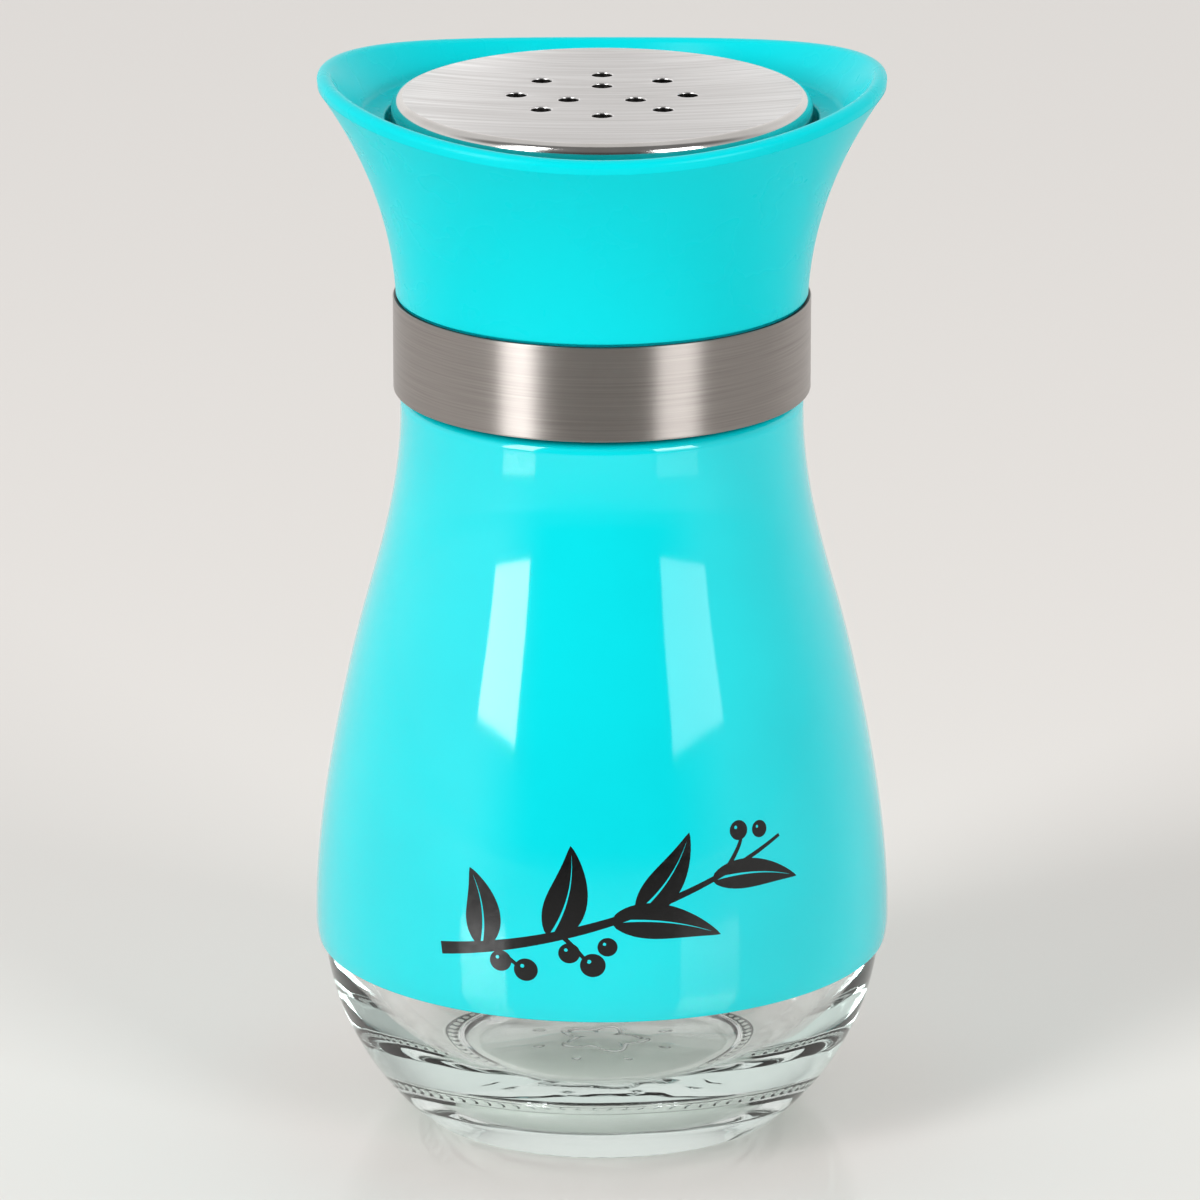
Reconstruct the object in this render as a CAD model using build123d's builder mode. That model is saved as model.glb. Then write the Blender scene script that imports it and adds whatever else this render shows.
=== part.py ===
"""Table shaker for ground spice: a glass jar in an enamelled steel sleeve, under a screw cap.

Everything is turned about the Z axis. The jar stands on z = 0. The cap is a flared plastic
collar that carries a steel band, a threaded core and a pierced steel plate. All lengths are
in millimetres. Radii are measured from the axis and levels from the surface it stands on.
"""
import os
from math import atan2, cos

from build123d import *

# --- glass jar: outside ---
belly_level = 23.5  # level where jar and sleeve are widest
foot_radius = 22.5  # outer edge of the ring that the jar stands on
foot_width = 2.6
foot_round = 0.7
push_up = 2.4  # height of the hollow under the base
push_up_run = 1.2  # the wall of the hollow leans in by this much
push_up_wall = 0.9  # height of that wall
neck_setback = 6.2  # from the side of the sleeve's waist in to the neck
neck_height = 13.1  # from the shoulder to the rim
neck_fillet = 0.5
shoulder_round = 1.0
glass_waist_drop = 1.2  # the glass turns upright this far below the sleeve
bead_drop = 9.4  # from the rim down to the middle of the ring of glass below the thread
bead_height = 1.6
bead_projection = 0.7
rim_round = 0.7

# --- glass jar: inside ---
glass_wall = 3.0
floor_thickness = 3.6
floor_dish = 0.9  # the floor is this much lower at its edge than in the middle
floor_radius = 17.0
floor_blend = 5.0
neck_wall = 2.55
shoulder_wall = 3.4
throat_share = 0.6  # share of the step from belly to mouth that the round under the shoulder takes
mouth_share = 0.36  # share that the round into the mouth takes
throat_straight = 0.4  # upright stretch below the round under the shoulder

# --- enamelled sleeve ---
sleeve_wall = 0.5
sleeve_belly_radius = 34.2
sleeve_waist_radius = 23.75
sleeve_upright = 2.0  # height of the upright side below the top
sleeve_hem_level = 21.1
sleeve_hem_tuck = 0.25  # the hem is this much narrower than the belly
sleeve_hem_round = 0.2
sleeve_top_level = 88.0
sleeve_top_round = 1.3
sleeve_lip_gap = 1.65  # between the neck and the lip
lower_flank_level = 50.0
lower_flank_share = 0.69  # share of the fall from belly to waist that is left there
middle_flank_level = 60.0
middle_flank_share = 0.47
upper_flank_level = 70.0
upper_flank_share = 0.21
glass_gap = 0.4  # between the sleeve and the glass

# --- soft rings under the sleeve ---
gasket_thickness = 0.6
gasket_gap = 0.1  # to the round at the foot of the neck, and to the shoulder's round
bond_low_level = 26.0
bond_height = 4.0
bond_skin = 0.03  # gap on each side of the bonding bead

# --- cap: steel band ---
band_step = 0.8  # the band stands this far outside the sleeve's waist
band_wall = 0.55
band_lift = 0.5  # open line between the sleeve and the band
band_height = 11.3
band_lip = 2.0  # width of the lip turned in under the collar
band_round = 0.15
band_gap = 0.05
shadow_line = 0.3  # open line between the band and the flare

# --- cap: flared collar ---
collar_wall = 2.4
flare_setback = 0.35  # the flare starts this far inside the face of the band
flare_lean = 0.8  # the control point of its curve lies this far outside its foot
flare_control_height = 25.9  # from the low edge of the band up to the control point
flare_top_radius = 34.8
flare_height = 38.9  # from the low edge of the band up to the flare's open end, above the rim
ear_height = 38.1  # from the low edge of the band up to the rim at the two ears, on the X axis
saddle_radius = 144.0  # arch that lowers the rim at front and back
rim_fillet = 0.95
rim_fillet_share = 0.498  # share of the wall at the rim that the fillet may take
ledge_drop = 2.5  # from the plate's face down to the ledge round it
ledge_thickness = 2.0
ledge_fillet = 0.8  # from the ledge into the flare
ledge_gap = 0.7  # between the plate's skirt and the ledge

# --- cap: pierced plate ---
plate_inset = 0.4  # the plate's edge lies this far inside the flare's control point
plate_height = 35.2  # from the low edge of the band up to the plate's face
plate_thickness = 0.8
plate_edge_round = 1.3
plate_skirt_depth = 5.2
plate_hem_round = 0.2
plate_gap = 0.05  # between the plate's skirt and the core
hole_radius = 1.2
outer_hole_count = 8
outer_hole_circle = 10.0
inner_hole_count = 3
inner_hole_circle = 4.5
inner_hole_start = 90.0

# --- cap: threaded core and its liner ---
thread_room = 1.45  # between the neck and the bore, for both threads
core_bore_wall = 2.0
core_lift = 0.25  # the core's skirt ends this far above the collar's
core_deck = 2.0
core_gap = 0.05  # between the core and the collar
chamber_step = 0.4  # the chamber's throat is this much wider than the mouth
chamber_rim = 4.0  # from the edge of the plate in to the chamber's open top
chamber_wall = 1.7
core_shoulder = 1.6
core_flange = 1.3
core_flange_gap = 0.2  # below the plate's skirt, and inside the ledge
rib_count = 8
rib_thickness = 1.0
rib_foot = 1.2  # the ribs stop this far inside the edge of the shoulder
lug_count = 4
lug_width = 3.0
lug_reach = 0.9
lug_gap = 0.1
liner_thickness = 1.0
liner_gap = 0.15

# --- sizes that follow ---
neck_radius = sleeve_waist_radius - neck_setback
mouth_radius = neck_radius - neck_wall
sleeve_waist_level = sleeve_top_level - sleeve_upright
sleeve_lip_radius = neck_radius + sleeve_lip_gap
glass_inset = sleeve_wall + glass_gap
cavity_inset = glass_inset + glass_wall
glass_waist_radius = sleeve_waist_radius - glass_inset
cavity_waist_radius = sleeve_waist_radius - cavity_inset
glass_belly = (sleeve_belly_radius - glass_inset, belly_level)
cavity_belly = (sleeve_belly_radius - cavity_inset, belly_level)
dome_radius = foot_radius - foot_width - push_up_run
floor_level = push_up + floor_thickness
floor_edge = (floor_radius, floor_level - floor_dish)
gasket_top_level = sleeve_top_level - sleeve_wall
glass_shoulder_level = gasket_top_level - gasket_thickness
glass_waist_level = sleeve_waist_level - glass_waist_drop
rim_level = glass_shoulder_level + neck_height
bead_level = rim_level - bead_drop
throat_level = glass_shoulder_level - shoulder_wall
throat_step = cavity_waist_radius - mouth_radius
throat_round = throat_share * throat_step
mouth_round = mouth_share * throat_step
cavity_waist_level = throat_level - throat_round - throat_straight
band_radius = sleeve_waist_radius + band_step
band_low_level = sleeve_top_level + band_lift
band_top_level = band_low_level + band_height
collar_low_level = band_low_level + band_wall
collar_skirt_radius = band_radius - band_wall - band_gap
flare_foot_radius = band_radius - flare_setback
flare_control_radius = flare_foot_radius + flare_lean
flare_foot_level = band_top_level + shadow_line
flare_control_level = band_low_level + flare_control_height
flare_top_level = band_low_level + flare_height
plate_radius = flare_control_radius - plate_inset
plate_level = band_low_level + plate_height
ear_level = band_low_level + ear_height
ledge_level = plate_level - ledge_drop
ledge_radius = plate_radius + ledge_gap
liner_top_level = rim_level + liner_thickness
core_step_level = liner_top_level + core_deck
core_low_level = collar_low_level + core_lift
core_bore_radius = neck_radius + thread_room
core_skirt_radius = core_bore_radius + core_bore_wall
chamber_throat_radius = mouth_radius + chamber_step
chamber_top_radius = plate_radius - chamber_rim
core_shoulder_radius = flare_foot_radius - collar_wall - core_gap
plate_underside = plate_level - plate_thickness
plate_skirt_level = plate_level - plate_skirt_depth
core_rim_radius = plate_radius - plate_thickness - plate_gap
core_flange_level = plate_skirt_level - core_flange_gap
core_flange_radius = ledge_radius - core_flange_gap
flare_run = flare_top_radius - flare_control_radius
flare_rise = flare_top_level - flare_control_level
rim_wall = collar_wall * cos(atan2(flare_run, flare_rise))


def flank_curve(inset, top_level):
    """Side of the sleeve from belly to waist, moved towards the axis by inset."""
    fall = sleeve_belly_radius - sleeve_waist_radius
    return Spline(
        (sleeve_belly_radius - inset, belly_level),
        (sleeve_waist_radius + lower_flank_share * fall - inset, lower_flank_level),
        (sleeve_waist_radius + middle_flank_share * fall - inset, middle_flank_level),
        (sleeve_waist_radius + upper_flank_share * fall - inset, upper_flank_level),
        (sleeve_waist_radius - inset, top_level),
        tangents=[(0, 1), (0, 1)],
    )


def flare_curve(inset):
    """Side of the collar from its foot to above the rim, moved towards the axis by inset."""
    return Bezier(
        (flare_foot_radius - inset, flare_foot_level),
        (flare_control_radius - inset, flare_control_level),
        (flare_top_radius - inset, flare_top_level),
    )


os.makedirs("parts", exist_ok=True)

# Glass jar: thick walls, a ring to stand on, a hollow base and a plain open neck.
with BuildPart() as glass_jar:
    with BuildSketch(Plane.XZ) as jar_section:
        with BuildLine():
            TangentArc((0, push_up), (dome_radius, push_up_wall), tangent=(1, 0))
            Line((dome_radius, push_up_wall), (foot_radius - foot_width, 0))
            Line((foot_radius - foot_width, 0), (foot_radius, 0))
            TangentArc(glass_belly, (foot_radius, 0), tangent=(0, -1))
            flank_curve(glass_inset, glass_waist_level)
            FilletPolyline(
                (glass_waist_radius, glass_waist_level),
                (glass_waist_radius, glass_shoulder_level),
                (neck_radius, glass_shoulder_level),
                (neck_radius, bead_level - bead_height / 2),
                radius=[shoulder_round, neck_fillet],
            )
            ThreePointArc(
                (neck_radius, bead_level - bead_height / 2),
                (neck_radius + bead_projection, bead_level),
                (neck_radius, bead_level + bead_height / 2),
            )
            FilletPolyline(
                (neck_radius, bead_level + bead_height / 2),
                (neck_radius, rim_level),
                (mouth_radius, rim_level),
                (mouth_radius, throat_level),
                (cavity_waist_radius, throat_level),
                (cavity_waist_radius, cavity_waist_level),
                radius=[rim_round, rim_round, mouth_round, throat_round],
            )
            flank_curve(cavity_inset, cavity_waist_level)
            TangentArc(cavity_belly, floor_edge, tangent=(0, -1))
            TangentArc((0, floor_level), floor_edge, tangent=(1, 0))
            Line((0, floor_level), (0, push_up))
        make_face()
        fillet(jar_section.vertices().group_by(Axis.Y)[0], radius=foot_round)
        fillet(jar_section.vertices().sort_by_distance(floor_edge)[0], radius=floor_blend)
    revolve(axis=Axis.Z)
glass_jar.part.label = "glass_jar"
export_step(glass_jar.part, "parts/glass_jar.step")

# Enamelled sleeve: thin steel, tucked in at the hem and turned over the jar's shoulder.
with BuildPart() as body_sleeve:
    with BuildSketch(Plane.XZ) as sleeve_section:
        with BuildLine():
            hem = (sleeve_belly_radius - sleeve_hem_tuck, sleeve_hem_level)
            inner_hem = (hem[0] - sleeve_wall, sleeve_hem_level)
            TangentArc((sleeve_belly_radius, belly_level), hem, tangent=(0, -1))
            flank_curve(0, sleeve_waist_level)
            FilletPolyline(
                (sleeve_waist_radius, sleeve_waist_level),
                (sleeve_waist_radius, sleeve_top_level),
                (sleeve_lip_radius, sleeve_top_level),
                (sleeve_lip_radius, gasket_top_level),
                (sleeve_waist_radius - sleeve_wall, gasket_top_level),
                (sleeve_waist_radius - sleeve_wall, sleeve_waist_level),
                radius=[
                    sleeve_top_round,
                    sleeve_hem_round,
                    sleeve_hem_round,
                    sleeve_top_round - sleeve_wall,
                ],
            )
            flank_curve(sleeve_wall, sleeve_waist_level)
            TangentArc((sleeve_belly_radius - sleeve_wall, belly_level), inner_hem, tangent=(0, -1))
            Line(inner_hem, hem)
        make_face()
        fillet(sleeve_section.vertices().group_by(Axis.Y)[0], radius=sleeve_hem_round)
    revolve(axis=Axis.Z)
body_sleeve.part.label = "body_sleeve"
export_step(body_sleeve.part, "parts/body_sleeve.step")

# Shoulder gasket: a flat rubber ring between the sleeve's lip and the glass shoulder.
with BuildPart() as shoulder_gasket:
    with BuildSketch(Plane.XY.offset(glass_shoulder_level)):
        Circle(glass_waist_radius - shoulder_round - gasket_gap)
        Circle(neck_radius + neck_fillet + gasket_gap, mode=Mode.SUBTRACT)
    extrude(amount=gasket_thickness)
shoulder_gasket.part.label = "shoulder_gasket"
export_step(shoulder_gasket.part, "parts/shoulder_gasket.step")

# Bonding bead: a clear ring that holds the sleeve to the glass just above the hem.
with BuildPart() as bond_bead:
    with BuildSketch(Plane.XZ):
        with BuildLine():
            outer_face = flank_curve(sleeve_wall + bond_skin, sleeve_waist_level)
            inner_face = flank_curve(glass_inset - bond_skin, glass_waist_level)
            Line(outer_face @ 0, inner_face @ 0)
            Line(outer_face @ 1, inner_face @ 1)
        make_face()
        with Locations((0, bond_low_level)):
            Rectangle(
                sleeve_belly_radius,
                bond_height,
                align=(Align.MIN, Align.MIN),
                mode=Mode.INTERSECT,
            )
    revolve(axis=Axis.Z)
bond_bead.part.label = "bond_bead"
export_step(bond_bead.part, "parts/bond_bead.step")

# Cap liner: the soft ring that the core presses on the glass rim.
with BuildPart() as cap_liner:
    with BuildSketch(Plane.XY.offset(rim_level)):
        Circle(core_bore_radius - liner_gap)
        Circle(mouth_radius + liner_gap, mode=Mode.SUBTRACT)
    extrude(amount=liner_thickness)
cap_liner.part.label = "cap_liner"
export_step(cap_liner.part, "parts/cap_liner.step")

# Threaded core: skirt round the glass neck, shoulder with driving lugs, pouring chamber,
# and the rim that the plate is pressed on.
with BuildPart() as cap_core:
    with BuildSketch(Plane.XZ) as core_section:
        with BuildLine():
            Polyline(
                (core_bore_radius, core_low_level),
                (core_bore_radius, liner_top_level),
                (chamber_throat_radius, liner_top_level),
                (chamber_throat_radius, core_step_level),
                (chamber_top_radius, core_flange_level),
                (chamber_top_radius, plate_underside),
                (core_rim_radius, plate_underside),
                (core_rim_radius, core_flange_level),
                (core_flange_radius, core_flange_level),
                (core_flange_radius, core_flange_level - core_flange),
                (chamber_top_radius + chamber_wall, core_flange_level - core_flange),
                (chamber_throat_radius + chamber_wall, core_step_level + core_shoulder),
                (core_shoulder_radius, core_step_level + core_shoulder),
                (core_shoulder_radius, core_step_level),
                (core_skirt_radius, core_step_level),
                (core_skirt_radius, core_low_level),
                close=True,
            )
        make_face()
        rim_corner = core_section.vertices().group_by(Axis.Y)[-1].sort_by(Axis.X)[-1]
        fillet(rim_corner, radius=plate_edge_round - plate_thickness + plate_gap)
    revolve(axis=Axis.Z)
    with Locations((0, 0, core_step_level)):
        with PolarLocations(core_shoulder_radius, lug_count):
            Box(
                2 * lug_reach,
                lug_width,
                core_shoulder,
                align=(Align.CENTER, Align.CENTER, Align.MIN),
            )
    for rib in range(rib_count):
        with BuildSketch(Plane.XZ.rotated((0, 0, (rib + 0.5) * 360 / rib_count))):
            with BuildLine():
                Polyline(
                    (chamber_throat_radius + chamber_wall / 2, core_step_level + core_shoulder),
                    (core_shoulder_radius - rib_foot, core_step_level + core_shoulder),
                    (chamber_top_radius + chamber_wall + rib_foot, core_flange_level - core_flange),
                    (chamber_top_radius + chamber_wall / 2, core_flange_level - core_flange),
                    close=True,
                )
            make_face()
        extrude(amount=rib_thickness / 2, both=True)
cap_core.part.label = "cap_core"
export_step(cap_core.part, "parts/cap_core.step")

# Pierced plate: a shallow drawn cup, face up, with two rings of pouring holes.
with BuildPart() as shaker_plate:
    with BuildSketch(Plane.XZ):
        with BuildLine():
            FilletPolyline(
                (0, plate_level),
                (plate_radius, plate_level),
                (plate_radius, plate_skirt_level),
                (plate_radius - plate_thickness, plate_skirt_level),
                (plate_radius - plate_thickness, plate_underside),
                (0, plate_underside),
                radius=[
                    plate_edge_round,
                    plate_hem_round,
                    plate_hem_round,
                    plate_edge_round - plate_thickness,
                ],
            )
            Line((0, plate_underside), (0, plate_level))
        make_face()
    revolve(axis=Axis.Z)
    with Locations((0, 0, plate_level)):
        with PolarLocations(outer_hole_circle, outer_hole_count):
            Hole(hole_radius, depth=plate_thickness)
        with PolarLocations(inner_hole_circle, inner_hole_count, start_angle=inner_hole_start):
            Hole(hole_radius, depth=plate_thickness)
shaker_plate.part.label = "shaker_plate"
export_step(shaker_plate.part, "parts/shaker_plate.step")

# Steel band: a tube round the collar's skirt, turned in under it.
with BuildPart() as neck_band:
    with BuildSketch(Plane.XZ) as band_section:
        with BuildLine():
            Polyline(
                (band_radius, band_low_level),
                (band_radius, band_top_level),
                (band_radius - band_wall, band_top_level),
                (band_radius - band_wall, collar_low_level),
                (band_radius - band_lip, collar_low_level),
                (band_radius - band_lip, band_low_level),
                close=True,
            )
        make_face()
        fillet(band_section.vertices().sort_by(Axis.X)[-2:], radius=band_round)
    revolve(axis=Axis.Z)
neck_band.part.label = "neck_band"
export_step(neck_band.part, "parts/neck_band.step")

# Flared collar: a moulding with a hollow flare, a ledge round the plate and a saddle rim.
with BuildPart() as flared_collar:
    with BuildSketch(Plane.XZ):
        with BuildLine():
            Line((0, collar_low_level), (collar_skirt_radius, collar_low_level))
            Line((collar_skirt_radius, collar_low_level), (collar_skirt_radius, flare_foot_level))
            Line((collar_skirt_radius, flare_foot_level), (flare_foot_radius, flare_foot_level))
            flare_curve(0)
            Line((flare_top_radius, flare_top_level), (0, flare_top_level))
            Line((0, flare_top_level), (0, collar_low_level))
        make_face()
    revolve(axis=Axis.Z)
    # the bowl above the ledge and the hollow below it follow the flare
    for low, high in (
        (ledge_level, flare_top_level),
        (core_step_level, ledge_level - ledge_thickness),
    ):
        with BuildSketch(Plane.XZ):
            with BuildLine():
                inner_flare = flare_curve(collar_wall)
                Line(inner_flare @ 0, (0, flare_foot_level))
                Line((0, flare_foot_level), (0, flare_top_level))
                Line((0, flare_top_level), inner_flare @ 1)
            make_face()
            with Locations((0, low)):
                Rectangle(
                    flare_top_radius,
                    high - low,
                    align=(Align.MIN, Align.MIN),
                    mode=Mode.INTERSECT,
                )
        revolve(axis=Axis.Z, mode=Mode.SUBTRACT)
    ledge_face = flared_collar.faces().filter_by(Axis.Z).sort_by(Axis.Z)[-2]
    fillet(ledge_face.outer_wire().edges(), radius=ledge_fillet)
    # bores for the plate and for the core's skirt, with a notch for each lug
    with BuildSketch(Plane.XY.offset(ledge_level)):
        Circle(ledge_radius)
    extrude(amount=-ledge_thickness, mode=Mode.SUBTRACT)
    with BuildSketch(Plane.XY.offset(core_step_level)):
        Circle(core_skirt_radius + core_gap)
    extrude(amount=collar_low_level - core_step_level, mode=Mode.SUBTRACT)
    with Locations((0, 0, core_step_level)):
        with PolarLocations(core_shoulder_radius, lug_count):
            Box(
                2 * (lug_reach + lug_gap),
                lug_width + 2 * lug_gap,
                ledge_level - ledge_thickness - core_step_level,
                align=(Align.CENTER, Align.CENTER, Align.MIN),
                mode=Mode.SUBTRACT,
            )
    # the saddle: a wide arch along X leaves two ears and lowers the front and the back
    with BuildSketch(Plane.YZ):
        with Locations((0, ear_level - saddle_radius)):
            Circle(saddle_radius)
    extrude(amount=flare_top_radius, both=True, mode=Mode.INTERSECT)
    rim_edges = flared_collar.edges().sort_by(Axis.Z)[-2:]
    fillet(rim_edges, radius=min(rim_fillet, rim_fillet_share * rim_wall))
flared_collar.part.label = "flared_collar"
export_step(flared_collar.part, "parts/flared_collar.step")
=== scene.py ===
"""Table shaker for ground spice, dressed with its real surfaces.

A pressed glass jar stands in an enamelled steel sleeve. A screw cap closes it: a flared plastic
collar with a brushed steel band at its foot and a pierced steel plate in its bowl. Lengths are
in millimetres until a mesh is made; meshes are in metres, about the Z axis, on z = 0.
"""

import logging
import math
from dataclasses import dataclass, field
from enum import Enum
from typing import Callable, Sequence

import bpy
import numpy as np
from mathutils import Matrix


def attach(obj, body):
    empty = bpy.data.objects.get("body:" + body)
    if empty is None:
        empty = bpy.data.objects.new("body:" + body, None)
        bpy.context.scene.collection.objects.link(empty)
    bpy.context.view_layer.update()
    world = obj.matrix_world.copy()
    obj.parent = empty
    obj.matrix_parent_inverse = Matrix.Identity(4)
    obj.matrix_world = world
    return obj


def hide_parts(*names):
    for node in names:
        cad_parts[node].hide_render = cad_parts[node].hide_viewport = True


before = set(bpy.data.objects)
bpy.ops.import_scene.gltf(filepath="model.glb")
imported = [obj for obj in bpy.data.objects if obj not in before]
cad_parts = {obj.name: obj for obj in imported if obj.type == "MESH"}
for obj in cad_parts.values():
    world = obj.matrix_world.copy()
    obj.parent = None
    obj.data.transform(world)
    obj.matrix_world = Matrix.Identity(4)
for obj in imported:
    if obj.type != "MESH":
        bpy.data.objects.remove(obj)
log = logging.getLogger("shaker")

MM = 0.001
Point = tuple[float, float]
Section = np.ndarray  # rows of (radius, level)
FaceTest = Callable[[np.ndarray, np.ndarray], np.ndarray]
Material, Piece = bpy.types.Material, bpy.types.Object
Node, Socket, Tree = bpy.types.Node, bpy.types.NodeSocket, bpy.types.NodeTree


# --- outlines ---


def arc_run(start: Point, heading: Point, end: Point, count: int) -> Section:
    """Draws the arc that leaves start along heading and ends at end.

    Args:
        start: first point.
        heading: direction of travel at start.
        end: last point.
        count: number of points.

    Returns:
        The points, start and end among them.
    """
    first, last = np.array(start, float), np.array(end, float)
    along = np.array(heading, float) / np.hypot(*heading)
    side = np.array([-along[1], along[0]])
    chord = last - first
    radius = chord @ chord / (2 * (chord @ side))
    centre = first + side * radius
    sweep = 2 * math.atan2(chord @ side, chord @ along)
    angles = np.linspace(0, sweep, count)
    arm = first - centre
    turned = [
        (arm[0] * math.cos(a) - arm[1] * math.sin(a), arm[0] * math.sin(a) + arm[1] * math.cos(a))
        for a in angles
    ]
    return centre + np.array(turned)


def bezier_run(corners: Sequence[Point], count: int) -> Section:
    """Draws the Bezier curve that has the given corners.

    Args:
        corners: start, control points and end.
        count: number of points.

    Returns:
        The points of the curve.
    """
    t = np.linspace(0, 1, count)[:, None]
    rows = [np.array(corner, float) for corner in corners]
    while len(rows) > 1:
        rows = [(1 - t) * here + t * there for here, there in zip(rows, rows[1:])]
    return rows[0]


def flank_run(knots: Sequence[Point], count: int) -> Section:
    """Draws the smooth cubic through the knots that is upright at both ends.

    Args:
        knots: the points that the side passes through, from low to high.
        count: number of points.

    Returns:
        The points of the curve, evenly spread between the knots.
    """
    knot = np.array(knots, float)
    span = np.hypot(*np.diff(knot, axis=0).T)
    size = len(knot)
    matrix, right = np.eye(size), np.zeros((size, 2))
    right[0] = right[-1] = (0, 1)
    for i in range(1, size - 1):
        before, after = span[i - 1], span[i]
        matrix[i, i - 1 : i + 2] = after, 2 * (before + after), before
        steps = after / before * (knot[i] - knot[i - 1]) + before / after * (knot[i + 1] - knot[i])
        right[i] = 3 * steps
    slope = np.linalg.solve(matrix, right)
    along = np.linspace(0, span.sum(), count)
    start = np.concatenate([[0], np.cumsum(span)])
    piece = np.clip(np.searchsorted(start, along, side="right") - 1, 0, size - 2)
    width = span[piece][:, None]
    t = (along - start[piece])[:, None] / width
    return (
        (2 * t**3 - 3 * t**2 + 1) * knot[piece]
        + (t**3 - 2 * t**2 + t) * width * slope[piece]
        + (3 * t**2 - 2 * t**3) * knot[piece + 1]
        + (t**3 - t**2) * width * slope[piece + 1]
    )


def read_off(run: Section, marks: np.ndarray, at: np.ndarray | float) -> Section:
    """Reads points off a run at some marks, given the marks of the run's own points."""
    return np.stack([np.interp(at, marks, run[:, axis]) for axis in (0, 1)], axis=-1)


def sideways(line: Section) -> Section:
    """Gives the unit vectors that point to the left of a line at each of its points."""
    ahead = np.gradient(line, axis=0)
    return np.column_stack([-ahead[:, 1], ahead[:, 0]]) / np.hypot(*ahead.T)[:, None]


def cut_back(run: Section, length: float) -> Section:
    """Shortens a run at its end by a length measured along it, with as many points as before."""
    along = np.concatenate([[0], np.cumsum(np.hypot(*np.diff(run, axis=0).T))])
    kept = along * max(1 - length / along[-1], 1e-3)
    return read_off(run, along, kept)


@dataclass
class Outline:
    """Half of a turned body's section, drawn run by run."""

    start: Point
    runs: list[Section] = field(default_factory=list)
    rounds: list[float] = field(default_factory=list)

    @property
    def end(self) -> Point:
        """The point that the last run reached."""
        return tuple(self.runs[-1][-1]) if self.runs else self.start

    def add(self, run: Section, rounded: float = 0.0) -> "Outline":
        """Adds a run; rounded is the radius of the corner where the run ends."""
        self.runs.append(np.array(run, float))
        self.rounds.append(rounded)
        return self

    def line(self, *corners: tuple[float, ...]) -> "Outline":
        """Adds straight runs; a corner is its radius, its level and, if it is rounded, by what."""
        for radius, level, *rounded in corners:
            self.add([self.end, (radius, level)], *rounded)
        return self

    def arc(self, heading: Point, end: Point, count: int, rounded: float = 0.0) -> "Outline":
        """Adds an arc that sets out along heading; rounded is the radius where it ends."""
        return self.add(arc_run(self.end, heading, end, count), rounded)

    def points(self, corner_steps: int = 6, support: float = 0.12) -> Section:
        """Rounds the corners and joins the runs.

        Args:
            corner_steps: points added in each rounded corner.
            support: distance from a corner at which a straight run gets an extra point.

        Returns:
            The whole outline.
        """
        runs = [run.copy() for run in self.runs]
        joints: list[Section] = []
        for i, radius in enumerate(self.rounds[:-1]):
            before, after = runs[i], runs[i + 1]
            incoming, outgoing = before[-1] - before[-2], after[1] - after[0]
            cross = incoming[0] * outgoing[1] - incoming[1] * outgoing[0]
            turn = abs(math.atan2(cross, incoming @ outgoing))
            if radius <= 0 or turn < 0.01:
                joints.append(np.empty((0, 2)))
                continue
            reach = radius * math.tan(turn / 2)
            runs[i] = before = cut_back(before, reach)
            runs[i + 1] = after = cut_back(after[::-1], reach)[::-1]
            incoming, outgoing = before[-1] - before[-2], after[1] - after[0]
            handle = 4 / 3 * math.tan(turn / 4) * radius
            one = before[-1] + incoming / np.hypot(*incoming) * handle
            two = after[0] - outgoing / np.hypot(*outgoing) * handle
            joints.append(bezier_run((before[-1], one, two, after[0]), corner_steps + 2)[1:-1])
        parts: list[Section] = []
        shared = False
        for run, joint in zip(runs, joints + [np.empty((0, 2))]):
            length = np.hypot(*(run[-1] - run[0]))
            if len(run) == 2 and length > 4 * support:
                way = (run[-1] - run[0]) / length * support
                run = np.array([run[0], run[0] + way, run[1] - way, run[1]])
            parts += [run[1:] if shared else run, joint]
            shared = len(joint) == 0
        return np.vstack(parts)


# --- meshes ---


def smooth(piece: Piece, crease: float = 40.0) -> Piece:
    """Shades a piece smooth, with its edges crisp above an angle in degrees."""
    piece.data.shade_smooth()
    piece.data.set_sharp_from_angle(angle=math.radians(crease))
    return piece


def new_piece(name: str, points: Sequence, faces: Sequence) -> Piece:
    """Makes a smooth-shaded piece.

    Args:
        name: name of the piece.
        points: its vertices in metres.
        faces: its faces as vertex numbers.

    Returns:
        The piece, at the origin.
    """
    mesh = bpy.data.meshes.new(name)
    mesh.from_pydata(points, [], faces)
    piece = bpy.data.objects.new(name, mesh)
    bpy.context.scene.collection.objects.link(piece)
    return smooth(piece)


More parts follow.
